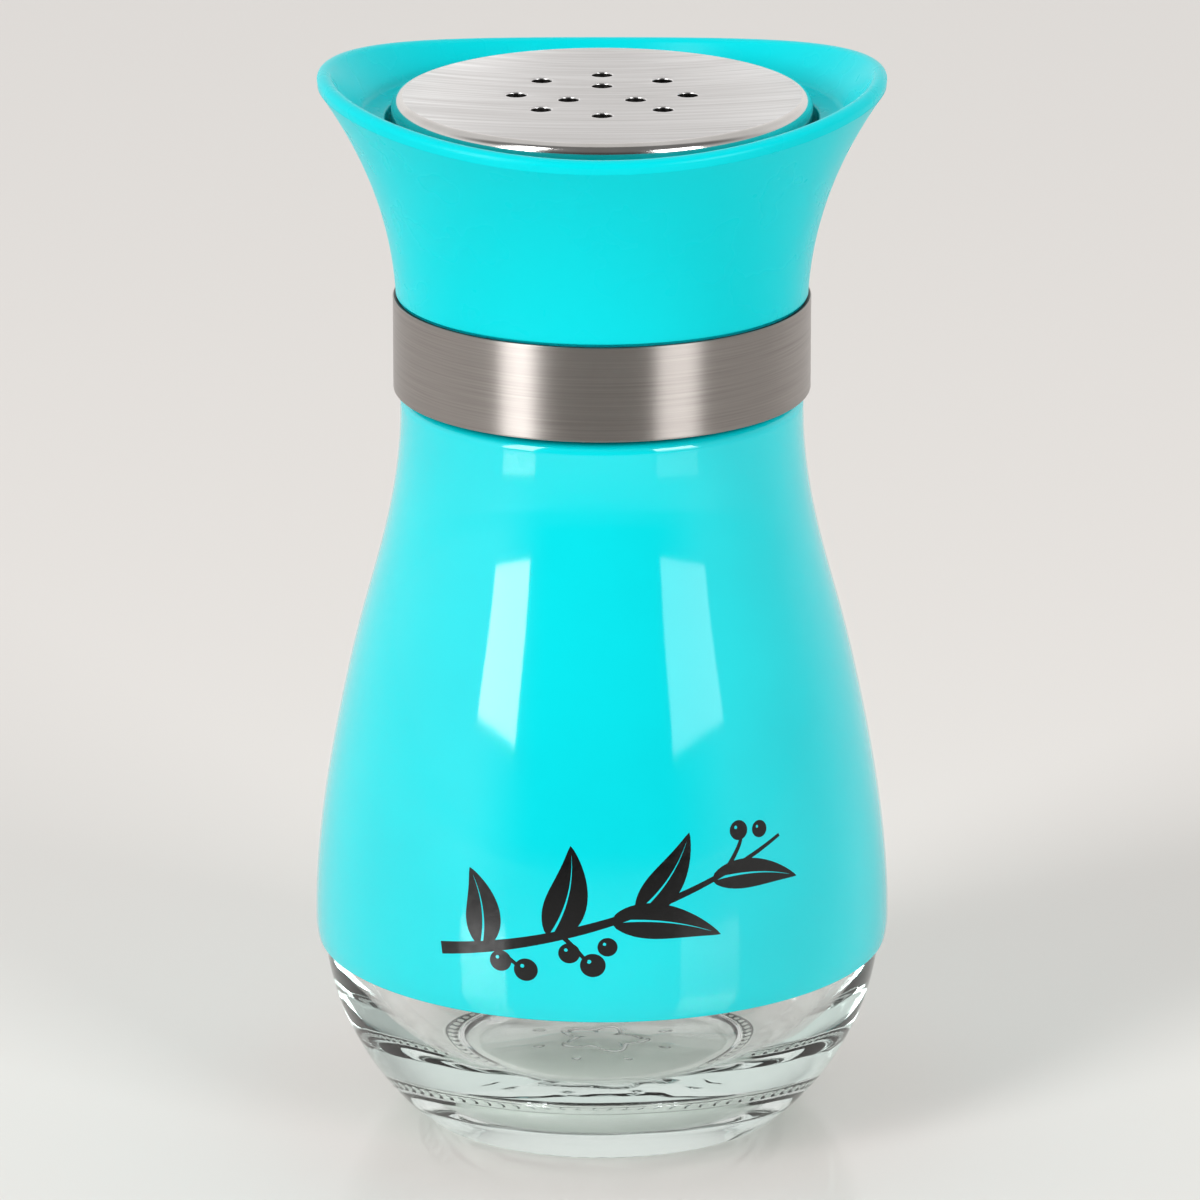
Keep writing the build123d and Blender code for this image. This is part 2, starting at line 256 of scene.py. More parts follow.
def turned_piece(name: str, section: Section | Callable[[float], Section], steps: int) -> Piece:
    """Turns a section about the Z axis; the section may change with the angle.

    Args:
        name: name of the piece.
        section: the outline, or what gives it at an angle in radians, with as many points at
            each. It runs pole to pole, or else it closes on itself.
        steps: number of sections in a full turn.

    Returns:
        The closed piece, its faces pointing outwards.
    """
    angles = [2 * math.pi * i / steps for i in range(steps)]
    rings = [section(angle) if callable(section) else section for angle in angles]
    outline = rings[0]
    rows = len(outline)
    poles = outline[0, 0] < 1e-6 and outline[-1, 0] < 1e-6
    after = np.roll(outline, -1, axis=0)
    outwards = (outline[:, 0] * after[:, 1] - after[:, 0] * outline[:, 1]).sum() > 0
    points: list[tuple[float, float, float]] = []
    number = np.zeros((steps, rows), int)
    for i, ring in enumerate(rings):
        cosine, sine = math.cos(angles[i]), math.sin(angles[i])
        for j, (radius, level) in enumerate(ring):
            if poles and j in (0, rows - 1) and i:
                number[i, j] = number[0, j]
                continue
            number[i, j] = len(points)
            points.append((radius * cosine * MM, radius * sine * MM, level * MM))
    faces: list[tuple[int, ...]] = []
    for i in range(steps):
        here, there = number[i], number[(i + 1) % steps]
        for j in range(rows - 1 if poles else rows):
            k = (j + 1) % rows
            loop = (here[j], there[j], there[k], here[k])
            loop = loop if outwards else loop[::-1]
            faces.append(tuple(int(v) for v in dict.fromkeys(loop)))
    return new_piece(name, points, faces)


def faces_where(piece: Piece, test: FaceTest, slot: int) -> None:
    """Gives the faces that pass a test another material slot.

    Args:
        piece: the piece to change.
        test: takes the faces' centres and normals and says which ones change.
        slot: number of the material slot.
    """
    polygons = piece.data.polygons
    centre, normal = np.zeros(len(polygons) * 3), np.zeros(len(polygons) * 3)
    polygons.foreach_get("center", centre)
    polygons.foreach_get("normal", normal)
    chosen = test(centre.reshape(-1, 3), normal.reshape(-1, 3))
    slots = np.zeros(len(polygons), np.int32)
    polygons.foreach_get("material_index", slots)
    polygons.foreach_set("material_index", np.where(chosen, slot, slots).astype(np.int32))


def outwards(centre: np.ndarray, normal: np.ndarray) -> np.ndarray:
    """Gives each face's centre times its normal, both flat: below 0 where it faces the axis."""
    return (centre[:, :2] * normal[:, :2]).sum(axis=1)


def dress(piece: Piece, *materials: Material) -> Piece:
    """Puts materials in a piece's slots, in order, and returns the piece."""
    piece.data.materials.clear()
    for material in materials:
        piece.data.materials.append(material)
    return piece


# --- nodes ---


class Nodes:
    """A node tree that is filled node by node."""

    def __init__(self, tree: Tree) -> None:
        """Empties the tree."""
        self.tree = tree
        tree.nodes.clear()

    def put(self, kind: str, inputs: dict | None = None, **settings: object) -> Node:
        """Adds one node.

        Args:
            kind: the node's type.
            inputs: for each input, by name or number, a value or the output that feeds it.
            **settings: the node's own properties.

        Returns:
            The node.
        """
        node = self.tree.nodes.new(kind)
        for name, value in settings.items():
            setattr(node, name, value)
        self.fill(node, inputs or {})
        return node

    def fill(self, node: Node, inputs: dict) -> None:
        """Gives a node's inputs values, or links them to outputs."""
        for key, value in inputs.items():
            if isinstance(value, Socket):
                self.tree.links.new(value, node.inputs[key])
            else:
                node.inputs[key].default_value = value

    def get(self, kind: str, inputs: dict | None = None, **settings: object) -> Socket:
        """Adds one node and returns its first output."""
        return self.put(kind, inputs, **settings).outputs[0]

    def math(self, operation: str, *values: object) -> Socket:
        """Adds a sum on numbers and returns its result."""
        return self.get("ShaderNodeMath", dict(enumerate(values)), operation=operation)

    def product(self, first: object, *others: object) -> object:
        """Multiplies any number of numbers or outputs."""
        for other in others:
            first = self.math("MULTIPLY", first, other)
        return first

    def vector(self, operation: str, *values: object, **named: object) -> Socket:
        """Adds a sum on vectors and returns its result, which for LENGTH is a number."""
        inputs = dict(enumerate(values)) | named
        node = self.put("ShaderNodeVectorMath", inputs, operation=operation)
        return node.outputs["Value" if operation == "LENGTH" else "Vector"]

    def flat(self, place: Socket) -> Socket:
        """Drops a place to z = 0, which leaves its arm from the Z axis."""
        return self.vector("MULTIPLY", place, (1, 1, 0))

    def upright(self, length: object) -> Socket:
        """Makes a vector of a given length along Z."""
        return self.get("ShaderNodeCombineXYZ", {2: length})

    def ease(
        self, value: object, start: object, end: object, low: object = 0.0, high: object = 1.0
    ) -> Socket:
        """Adds a smooth step from low to high while value goes from start to end."""
        span = {"Value": value, "From Min": start, "From Max": end, "To Min": low, "To Max": high}
        return self.get("ShaderNodeMapRange", span, interpolation_type="SMOOTHSTEP")


class ShapeTree(Nodes):
    """Geometry nodes with named inputs, ending in Realize Instances and Set Material."""

    KINDS = {int: "NodeSocketInt", float: "NodeSocketFloat", Piece: "NodeSocketObject"}

    def __init__(self, name: str, numbers: str, **others: type) -> None:
        """Opens the tree.

        Args:
            name: name of the tree.
            numbers: names of the inputs that take a number, with a space between them.
            **others: the other inputs and their kinds.
        """
        super().__init__(bpy.data.node_groups.new(name, "GeometryNodeTree"))
        face = self.tree.interface
        face.new_socket("Geometry", in_out="INPUT", socket_type="NodeSocketGeometry")
        for label, kind in (dict.fromkeys(numbers.split(), float) | others).items():
            face.new_socket(label, in_out="INPUT", socket_type=self.KINDS[kind])
        face.new_socket("Finish", in_out="INPUT", socket_type="NodeSocketMaterial")
        face.new_socket("Geometry", in_out="OUTPUT", socket_type="NodeSocketGeometry")
        self.given = super().put("NodeGroupInput").outputs

    def put(self, kind: str, inputs: dict | None = None, **settings: object) -> Node:
        """Adds one node; text among its inputs stands for the tree's input of that name."""
        given = {k: self.given[v] if isinstance(v, str) else v for k, v in (inputs or {}).items()}
        return super().put(kind, given, **settings)

    def polar(self) -> tuple[Socket, Socket, Socket, Socket]:
        """Gives each point's turn about the Z axis from -0.5 to 0.5, radius, level and arm."""
        place = self.get("GeometryNodeInputPosition")
        x, y, level = self.put("ShaderNodeSeparateXYZ", {0: place}).outputs
        turn = self.math("DIVIDE", self.math("ARCTAN2", y, x), 2 * math.pi)
        arm = self.flat(place)
        return turn, self.vector("LENGTH", arm), level, arm

    def close(self, geometry: Socket) -> "ShapeTree":
        """Ends the tree with plain geometry in the given finish."""
        real = self.get("GeometryNodeRealizeInstances", {"Geometry": geometry})
        made = self.get("GeometryNodeSetMaterial", {"Geometry": real, "Material": "Finish"})
        self.put("NodeGroupOutput", {"Geometry": made})
        return self

    def close_moved(self, offset: Socket) -> "ShapeTree":
        """Ends the tree with the given geometry, each point moved by an offset."""
        moved = {"Geometry": "Geometry", "Offset": offset}
        return self.close(self.get("GeometryNodeSetPosition", moved))

    def shape(self, piece: Piece, finish: Material, **sizes: object) -> Piece:
        """Runs the tree on a piece and leaves plain mesh.

        Args:
            piece: the piece that changes.
            finish: its material.
            **sizes: values for the tree's inputs, by name.

        Returns:
            The piece.
        """
        modifier = piece.modifiers.new(self.tree.name, "NODES")
        modifier.node_group = self.tree
        values = sizes | {"Finish": finish}
        for socket in self.tree.interface.items_tree:
            if socket.in_out == "INPUT" and socket.name in values:
                modifier[socket.identifier] = values[socket.name]
        graph = bpy.context.evaluated_depsgraph_get()
        mesh = bpy.data.meshes.new_from_object(piece.evaluated_get(graph))
        piece.modifiers.clear()
        piece.data = mesh
        return smooth(piece)


def stipple_tree() -> ShapeTree:
    """Makes the tree that leaves a ring of round beads standing in a groove round a jar's foot."""
    shape = ShapeTree("foot_stipple", "Beads Circle Bead Inner Outer Depth Blend")
    turn, radius, level, _ = shape.polar()
    cell = shape.math("FRACT", shape.product(turn, "Beads"))
    pitch = shape.math("DIVIDE", shape.product("Circle", 2 * math.pi), "Beads")
    along = shape.product(shape.math("SUBTRACT", cell, 0.5), pitch)
    across = shape.math("SUBTRACT", radius, "Circle")
    away = shape.vector("LENGTH", shape.get("ShaderNodeCombineXYZ", {0: along, 1: across}))
    gap = shape.ease(away, shape.product("Bead", 0.2), "Bead")
    inner = shape.ease(shape.math("SUBTRACT", radius, "Inner"), 0.0, "Blend")
    outer = shape.ease(shape.math("SUBTRACT", "Outer", radius), 0.0, "Blend")
    low = shape.ease(level, 0.2 * MM, 1.4 * MM, 1.0, 0.0)
    lift = shape.product(gap, low, "Depth", shape.product(inner, outer))
    return shape.close_moved(shape.upright(lift))


def thread_tree() -> ShapeTree:
    """Makes the tree that raises a screw thread on an upright neck."""
    shape = ShapeTree("neck_thread", "Neck Start Pitch Turns Reach Crest Foot Lead")
    turn, radius, level, arm = shape.polar()
    share = shape.math("FRACT", turn)
    row = shape.math("DIVIDE", shape.math("SUBTRACT", level, "Start"), "Pitch")
    row = shape.math("SUBTRACT", row, share)
    near = shape.math("MAXIMUM", shape.math("ROUND", row), 0.0)
    near = shape.math("MINIMUM", near, shape.math("FLOOR", "Turns"))
    away = shape.math("ABSOLUTE", shape.math("SUBTRACT", row, near))
    ridge = shape.ease(shape.product(away, "Pitch"), "Crest", "Foot", 1.0, 0.0)
    along = shape.math("ADD", share, near)
    for way in (along, shape.math("SUBTRACT", "Turns", along)):
        ridge = shape.product(ridge, shape.ease(way, 0.0, "Lead"))
    outside = shape.math("GREATER_THAN", radius, "Neck")
    reach = shape.product(ridge, outside, "Reach")
    return shape.close_moved(shape.vector("SCALE", shape.vector("NORMALIZE", arm), Scale=reach))


def spiral_tree() -> ShapeTree:
    """Makes the tree that sweeps a screw thread's rib along a helix, fading at both ends."""
    numbers = "Turns Pitch Radius Start Angle Foot Crest Reach Lead"
    shape = ShapeTree("core_thread", numbers, Steps=int)
    spiral = {
        "Resolution": "Steps",
        "Rotations": "Turns",
        "Start Radius": "Radius",
        "End Radius": "Radius",
        "Height": shape.product("Turns", "Pitch"),
        "Reverse": True,
    }
    placed = {
        "Geometry": shape.get("GeometryNodeCurveSpiral", spiral),
        "Translation": shape.upright("Start"),
        "Rotation": shape.upright("Angle"),
    }
    helix = {"Curve": shape.get("GeometryNodeTransform", placed)}
    helix = shape.get("GeometryNodeSetCurveNormal", helix, mode="Z_UP")
    turns = shape.product(shape.put("GeometryNodeSplineParameter").outputs["Factor"], "Turns")
    fade: object = 1.0
    for way in (turns, shape.math("SUBTRACT", "Turns", turns)):
        fade = shape.product(shape.ease(way, 0.0, "Lead", 0.05), fade)
    helix = shape.get("GeometryNodeSetCurveRadius", {"Curve": helix, "Radius": fade})
    rib = {
        "Bottom Width": shape.product("Foot", 2.0),
        "Top Width": shape.product("Crest", 2.0),
        "Offset": 0.0,
        "Height": "Reach",
    }
    rib = shape.get("GeometryNodeCurvePrimitiveQuadrilateral", rib, mode="TRAPEZOID")
    rib = shape.get("GeometryNodeTransform", {"Geometry": rib, "Rotation": (0, 0, math.pi / 2)})
    swept = {"Curve": helix, "Profile Curve": rib, "Scale": fade, "Fill Caps": True}
    return shape.close(shape.get("GeometryNodeCurveToMesh", swept))


def ring_cut_tree() -> ShapeTree:
    """Makes the tree that cuts one shape out of a piece at even places on a circle."""
    shape = ShapeTree("ring_cut", "Circle Start", Count=int, Cutter=Piece)
    circle = shape.get("GeometryNodeMeshCircle", {"Vertices": "Count", "Radius": "Circle"})
    turned = {"Geometry": circle, "Rotation": shape.upright("Start")}
    position = {"Vector": shape.get("GeometryNodeInputPosition")}
    cutters = {
        "Points": shape.get("GeometryNodeTransform", turned),
        "Instance": shape.put("GeometryNodeObjectInfo", {"Object": "Cutter"}).outputs["Geometry"],
        "Rotation": shape.get(
            "FunctionNodeAlignRotationToVector", position, axis="X", pivot_axis="Z"
        ),
    }
    cutters = {"Geometry": shape.get("GeometryNodeInstanceOnPoints", cutters)}
    bodies = {"Mesh 1": "Geometry", "Mesh 2": shape.get("GeometryNodeRealizeInstances", cutters)}
    cut = {"operation": "DIFFERENCE", "solver": "MANIFOLD"}
    return shape.close(shape.get("GeometryNodeMeshBoolean", bodies, **cut))


# --- finishes ---


def linear(colour: str) -> tuple[float, float, float, float]:
    """Turns an sRGB hex colour into the linear values that a socket takes."""
    channels = [int(colour[i : i + 2], 16) / 255 for i in (1, 3, 5)]
    return (*(c / 12.92 if c <= 0.04045 else ((c + 0.055) / 1.055) ** 2.4 for c in channels), 1.0)


class Brushing(Enum):
    """Way that the hair lines run: cells per metre along and across, and the swing's reach.

    The reach, in metres, is how far behind the middle of the piece the lines have their centre.
    """

    TUBE = (60.0, 5200.0, 0.0)  # a belt has gone round a tube
    DISC = (60.0, 1900.0, 0.06)  # a pad has swung over a disc


class Surface(Nodes):
    """A material's nodes, round one shader."""

    def __init__(self, name: str) -> None:
        """Makes the material with its shader."""
        self.material = bpy.data.materials.new(name)
        self.material.use_nodes = True
        super().__init__(self.material.node_tree)
        self.shader = self.put("ShaderNodeBsdfPrincipled")
        self.output = self.put("ShaderNodeOutputMaterial", {"Surface": self.shader.outputs[0]})
        self.where = self.put("ShaderNodeTexCoord").outputs["Object"]

    def feed(self, **inputs: object) -> None:
        """Fills the shader's inputs, named with underscores for spaces."""
        self.fill(self.shader, {label.replace("_", " "): v for label, v in inputs.items()})

    def grain(self, size: float, detail: float = 2.0) -> Socket:
        """Adds noise whose features are about size millimetres wide."""
        noise = {"Vector": self.where, "Scale": 1 / (size * MM), "Detail": detail}
        return self.get("ShaderNodeTexNoise", noise)

    def shade(self, value: Socket, low: float, high: float) -> Socket:
        """Spreads a noise value between two numbers."""
        span = {"Value": value, "From Min": 0.3, "From Max": 0.7, "To Min": low, "To Max": high}
        return self.get("ShaderNodeMapRange", span)

    def relief(self, height: Socket, depth: float) -> Socket:
        """Turns a height of depth millimetres into a bump."""
        bump = {"Height": height, "Distance": depth * MM, "Strength": 1.0}
        return self.get("ShaderNodeBump", bump)

    def tint(self, value: Socket, light: str, dark: str) -> Socket:
        """Mixes two colours by a noise value."""
        node = self.put("ShaderNodeMix", data_type="RGBA")
        sockets = {socket.name: socket for socket in node.inputs if socket.enabled}
        self.tree.links.new(self.shade(value, 0.0, 1.0), sockets["Factor"])
        sockets["A"].default_value = linear(dark)
        sockets["B"].default_value = linear(light)
        return next(socket for socket in node.outputs if socket.enabled)


@dataclass(frozen=True)
class Finish:
    """A finish that is even in itself; each kind below adds its own detail."""

    name: str
    colour: str
    roughness: float = 0.4
    ior: float = 1.5

    def make(self) -> Material:
        """Makes the material."""
        surface = Surface(self.name)
        surface.feed(Base_Color=linear(self.colour), Roughness=self.roughness, IOR=self.ior)
        self.detail(surface)
        return surface.material

    def detail(self, on: Surface) -> None:
        """Adds to a surface what this kind of finish has of its own."""
        raise NotImplementedError


@dataclass(frozen=True)
class PressedGlass(Finish):
    """Soda-lime glass, pressed and fire-polished: clear, with a green-grey cast where thick."""

    cast: str = "#CFE3DE"
    density: float = 14.0  # per metre
    shadow: str = "#EAF3F0"

    def detail(self, on: Surface) -> None:
        """Adds chill waves of about 7 mm from the mould, the cast and a light shadow."""
        on.feed(Transmission_Weight=1.0, Normal=on.relief(on.grain(7.0, 1.0), 0.02))
        cast = {"Color": linear(self.cast), "Density": self.density}
        # lamps shine straight through, so that the counter under the base is lit
        shine = {
            0: on.put("ShaderNodeLightPath").outputs["Is Shadow Ray"],
            1: on.shader.outputs[0],
            2: on.get("ShaderNodeBsdfTransparent", {"Color": linear(self.shadow)}),
        }
        inside = on.get("ShaderNodeVolumeAbsorption", cast)
        on.fill(on.output, {"Surface": on.get("ShaderNodeMixShader", shine), "Volume": inside})


@dataclass(frozen=True)
class FiredEnamel(Finish):
    """Vitreous enamel sprayed and fired on steel: a glassy skin with a faint orange peel."""

    deep: str = "#00D6DF"

    def detail(self, on: Surface) -> None:
        """Adds clouds of a deeper colour and the waves, 2 mm wide, that firing drew."""
        cloud = on.tint(on.grain(18.0), self.colour, self.deep)
        peel = on.relief(on.grain(2.0, 1.0), 0.002)
        on.feed(Specular_IOR_Level=0.6, Base_Color=cloud, Normal=peel)


@dataclass(frozen=True)
class RolledSteel(Finish):
    """Bare steel sheet, as rolled or as drawn over a die: cloudy grey with no hair lines."""

    worn: str = "#BCC0C0"

    def detail(self, on: Surface) -> None:
        """Adds clouds about 6 mm wide in colour and roughness."""
        cloud = on.grain(6.0, 4.0)
        on.feed(
            Metallic=1.0,
            Base_Color=on.tint(cloud, self.colour, self.worn),
            Roughness=on.shade(cloud, self.roughness * 0.85, self.roughness * 1.15),
        )


@dataclass(frozen=True)
class BrushedSteel(Finish):
    """Brushed stainless steel: highlights are drawn out across the hair lines."""

    dark: str = "#9A9490"
    brushing: Brushing = Brushing.TUBE
    anisotropy: float = 1.0

    def hair(self, on: Surface) -> tuple[Socket, Socket]:
        """Adds noise drawn out into lines, and the way that the lines run at each point.

        Args:
            on: the surface that gets them.

        Returns:
            The noise, and the lines' direction in the world.
        """
        along, across, reach = self.brushing.value
        if self.brushing is Brushing.TUBE:
            cells = {"Vector": on.where, "Scale": (along, along, across)}
            cells = on.get("ShaderNodeMapping", cells)
            way = on.get("ShaderNodeTangent", direction_type="RADIAL", axis="Z")
        else:
            arm = on.flat(on.vector("SUBTRACT", on.where, (0, reach, 0)))
            heading = on.vector("NORMALIZE", arm)
            rows = on.upright(on.product(on.vector("LENGTH", arm), across))
            cells = on.vector("ADD", on.vector("SCALE", heading, Scale=along * reach), rows)
            spaces = {"vector_type": "VECTOR", "convert_from": "OBJECT", "convert_to": "WORLD"}
            way = {0: on.vector("CROSS_PRODUCT", heading, (0, 0, 1))}
            way = on.get("ShaderNodeVectorTransform", way, **spaces)
        lines = {"Vector": cells, "Scale": 1.0, "Detail": 3.0}
        return on.get("ShaderNodeTexNoise", lines), way

    def detail(self, on: Surface) -> None:
        """Adds hair lines some 16 mm long, 0.2 mm wide on a tube and 0.5 mm on a disc."""
        hair, way = self.hair(on)
        on.feed(
            Metallic=1.0,
            Anisotropic=self.anisotropy,
            Anisotropic_Rotation=0.25,
            Tangent=way,
            Base_Color=on.tint(hair, self.colour, self.dark),
            Roughness=on.shade(hair, self.roughness - 0.03, self.roughness + 0.04),
            Normal=on.relief(hair, 0.001),
        )


@dataclass(frozen=True)
class MouldedPlastic(Finish):
    """Injection-moulded plastic: a soft sheen, with the texture that the tool left."""

    texture: float = 0.5
    depth: float = 0.0004
    specular: float = 0.5

    def detail(self, on: Surface) -> None:
        """Adds the tool's texture, in roughness and in relief."""
        fine = on.grain(self.texture)
        on.feed(
            Specular_IOR_Level=self.specular,
            Roughness=on.shade(fine, self.roughness - 0.02, self.roughness + 0.02),
            Normal=on.relief(fine, self.depth),
        )


@dataclass(frozen=True)
class SoftSeal(Finish):
    """Foamed or rubbery seal: dull, with open pores."""

    pore: float = 0.35
    clear: float = 0.0

    def detail(self, on: Surface) -> None:
        """Adds the pores."""
        pores = on.put("ShaderNodeTexVoronoi", {"Vector": on.where, "Scale": 1 / (self.pore * MM)})
        relief = on.relief(pores.outputs["Distance"], 0.03)
        on.feed(Transmission_Weight=self.clear, Normal=relief)


@dataclass(frozen=True)
class PrintedInk(Finish):
    """Screen-printed glass ink, fired on: glossy black, a little uneven where it flowed."""

    def detail(self, on: Surface) -> None:
        """Adds the unevenness, 0.8 mm wide."""
        flow = on.grain(0.8)
        on.feed(Roughness=on.shade(flow, 0.1, 0.24), Normal=on.relief(flow, 0.004))


@dataclass(frozen=True)
class CounterTop(Finish):
    """Pale polished counter: nearly even, with a weak mirror."""

    def detail(self, on: Surface) -> None:
        """Adds clouds in the polish."""
        on.feed(Roughness=on.shade(on.grain(60.0), 0.06, 0.1))


# --- the jar and its sleeve ---


@dataclass
class Flank:
    """The waisted side that jar and sleeve share."""

    belly_radius: float = 34.2
    belly_level: float = 23.5
    waist_radius: float = 23.75
    shares: tuple[Point, ...] = ((50.0, 0.69), (60.0, 0.47), (70.0, 0.21))

    def run(self, inset: float, top_level: float, count: int) -> Section:
        """Draws the side, moved towards the axis by inset, up to top_level."""
        fall = self.belly_radius - self.waist_radius
        knots = [
            (self.belly_radius - inset, self.belly_level),
            *((self.waist_radius + share * fall - inset, level) for level, share in self.shares),
            (self.waist_radius - inset, top_level),
        ]
        return flank_run(knots, count)


@dataclass(frozen=True)
class ScrewThread:
    """A right-handed thread: its first level, its ridge, and its lead-in in turns."""

    start_level: float
    reach: float
    crest: float
    lead: float
    foot: float = 0.95
    pitch: float = 4.233
    turns: float = 1.2

    @property
    def sizes(self) -> dict[str, float]:
        """The inputs that both thread trees take."""
        return {
            "Start": self.start_level * MM,
            "Pitch": self.pitch * MM,
            "Turns": self.turns,
            "Reach": self.reach * MM,
            "Crest": self.crest * MM,
            "Foot": self.foot * MM,
            "Lead": self.lead,
        }


@dataclass
class GlassJar:
    """Pressed jar with a beaded ring to stand on, a thick floor and a threaded neck."""

    # for each wave of the cavity: share, number in a turn, rise per millimetre and start
    RIPPLES = ((1.0, 5, 0.11, 0.4), (0.7, 9, -0.17, 2.1), (0.5, 14, 0.23, 0.0))

    flank: Flank
    finish: PressedGlass
    inset: float = 0.9
    wall: float = 3.0
    foot_radius: float = 22.5
    foot_width: float = 2.6
    foot_round: float = 0.7
    push_up: float = 2.4
    push_up_run: float = 1.2
    push_up_wall: float = 0.9
    push_up_round: float = 0.5
    neck_radius: float = 17.55
    neck_round: float = 0.5
    neck_rows: int = 30
    waist_level: float = 84.8
    shoulder_level: float = 86.9
    shoulder_round: float = 1.0
    bead_level: float = 90.6
    bead_height: float = 1.6
    bead_projection: float = 0.7
    rim_level: float = 100.0
    rim_round: float = 0.7
    floor_level: float = 6.0
    floor_edge: Point = (17.0, 5.1)
    floor_blend: float = 5.0
    mouth_radius: float = 15.0
    throat_level: float = 83.5
    throat_round: float = 2.91
    mouth_round: float = 1.746
    cavity_waist_level: float = 80.19
    stipple_beads: float = 64.0
    stipple_circle: float = 20.95
    stipple_radius: float = 0.9
    stipple_depth: float = 0.42
    stipple_margins: tuple[float, float] = (0.15, 0.4)
    stipple_blend: float = 0.35
    mark_radius: float = 4.4
    mark_wave: float = 0.9
    mark_width: float = 0.75
    mark_depth: float = 0.3
    mark_rows: int = 25
    lobes: int = 5
    dots: int = 8
    dot_circle: float = 8.4
    ripple: float = 0.06
    thread: ScrewThread = ScrewThread(92.9, reach=1.15, crest=0.3, lead=0.07)
    steps: int = 384

    def neck(self) -> Section:
        """Gives the close rows of the neck that the thread is raised from."""
        low = self.bead_level + self.bead_height / 2
        levels = np.linspace(low, self.rim_level - self.rim_round - 0.05, self.neck_rows)
        return np.column_stack([np.full(len(levels), self.neck_radius), levels])

    def dome_rows(self, edge: float) -> Section:
        """Gives the rows of the push-up, close where the mould mark stands on it."""
        dome = arc_run((0.0, self.push_up), (1, 0), (edge, self.push_up_wall), 90)
        radii = np.concatenate([[0, 1.6], np.arange(2.8, 9.5, 0.3), [11, 13, 15, 17, edge]])
        return np.column_stack([radii, np.interp(radii, dome[:, 0], dome[:, 1])])

    def outline(self) -> tuple[Section, int]:
        """Draws the whole section.

        Returns:
            The outline from pole to pole, and the row where the cavity begins.
        """
        belly = self.flank.belly_radius - self.inset
        foot_inside = self.foot_radius - self.foot_width
        dome = foot_inside - self.push_up_run
        waist = self.flank.waist_radius - self.inset
        bead_low = self.bead_level - self.bead_height / 2
        half, out = self.bead_height / 2, self.bead_projection
        lean = math.asin(half / ((half**2 + out**2) / (2 * out)))
        outside = Outline((0.0, self.push_up))
        outside.add(self.dome_rows(dome), rounded=self.push_up_round)
        outside.line((foot_inside, 0.0, self.foot_round))
        foot = np.linspace(foot_inside, self.foot_radius, 12)
        outside.add(np.column_stack([foot, 0 * foot]), rounded=self.foot_round)
        heel = arc_run((belly, self.flank.belly_level), (0, -1), (self.foot_radius, 0.0), 24)[::-1]
        outside.add(heel)
        outside.add(self.flank.run(self.inset, self.waist_level, 18))
        outside.line(
            (waist, self.shoulder_level, self.shoulder_round),
            (self.neck_radius, self.shoulder_level, self.neck_round),
            (self.neck_radius, bead_low),
        )
        bead_top = (self.neck_radius, bead_low + self.bead_height)
        outside.arc((math.sin(lean), math.cos(lean)), bead_top, 9)
        outside.add(self.neck())
        outside.line(
            (self.neck_radius, self.rim_level, self.rim_round),
            (self.mouth_radius, self.rim_level, self.rim_round),
            (self.mouth_radius, self.throat_level, self.mouth_round),
        )
        rows = len(outside.points()) - 1
        outside.line(
            (waist - self.wall, self.throat_level, self.throat_round),
            (waist - self.wall, self.cavity_waist_level),
        )
        outside.add(self.flank.run(self.inset + self.wall, self.cavity_waist_level, 26)[::-1])
        outside.arc((0, -1), self.floor_edge, 14, rounded=self.floor_blend)
        outside.add(arc_run((0.0, self.floor_level), (1, 0), self.floor_edge, 14)[::-1])
        return outside.points(), rows

    def section(self, angle: float) -> Section:
        """Gives the outline at an angle, with the mould mark and the plunger's ripples."""
        points, start = self._outline
        ring = points.copy()
        under = ring[: self.mark_rows]
        lobe = self.mark_radius + self.mark_wave * math.cos(self.lobes * angle)
        turn = 2 * math.pi / self.dots
        dot = self.dot_circle * (angle / turn % 1 - 0.5) * turn
        for away in (np.abs(under[:, 0] - lobe), np.hypot(under[:, 0] - self.dot_circle, dot)):
            near = 1 - np.clip(away / self.mark_width, 0, 1)
            under[:, 1] -= self.mark_depth * near**2 * (3 - 2 * near)
        inner = ring[start:]
        level = inner[:, 1]
        wave = sum(
            share * np.sin(count * angle + rise * level + start)
            for share, count, rise, start in self.RIPPLES
        )
        # still at the middle of the floor and at the throat
        hold = np.clip((inner[:, 0] - 6) / 8, 0, 1) * np.clip((self.throat_level - level) / 6, 0, 1)
        inner[:, 0] += self.ripple * wave * hold * 0.5
        inner[:, 1] += self.ripple * 0.5 * wave * hold * (level < 14)
        return ring

    def build(self) -> Piece:
        """Turns the jar, presses beads in its foot and raises its thread."""
        self._outline = self.outline()
        jar = turned_piece("jar", self.section, self.steps)
        glass = self.finish.make()
        stipple_tree().shape(
            jar,
            glass,
            Beads=self.stipple_beads,
            Circle=self.stipple_circle * MM,
            Bead=self.stipple_radius * MM,
            Inner=(self.foot_radius - self.foot_width - self.stipple_margins[0]) * MM,
            Outer=(self.foot_radius - self.stipple_margins[1]) * MM,
            Depth=self.stipple_depth * MM,
            Blend=self.stipple_blend * MM,
        )
        neck = (self.neck_radius - 0.2) * MM
        thread_tree().shape(jar, glass, Neck=neck, **self.thread.sizes)
        return jar


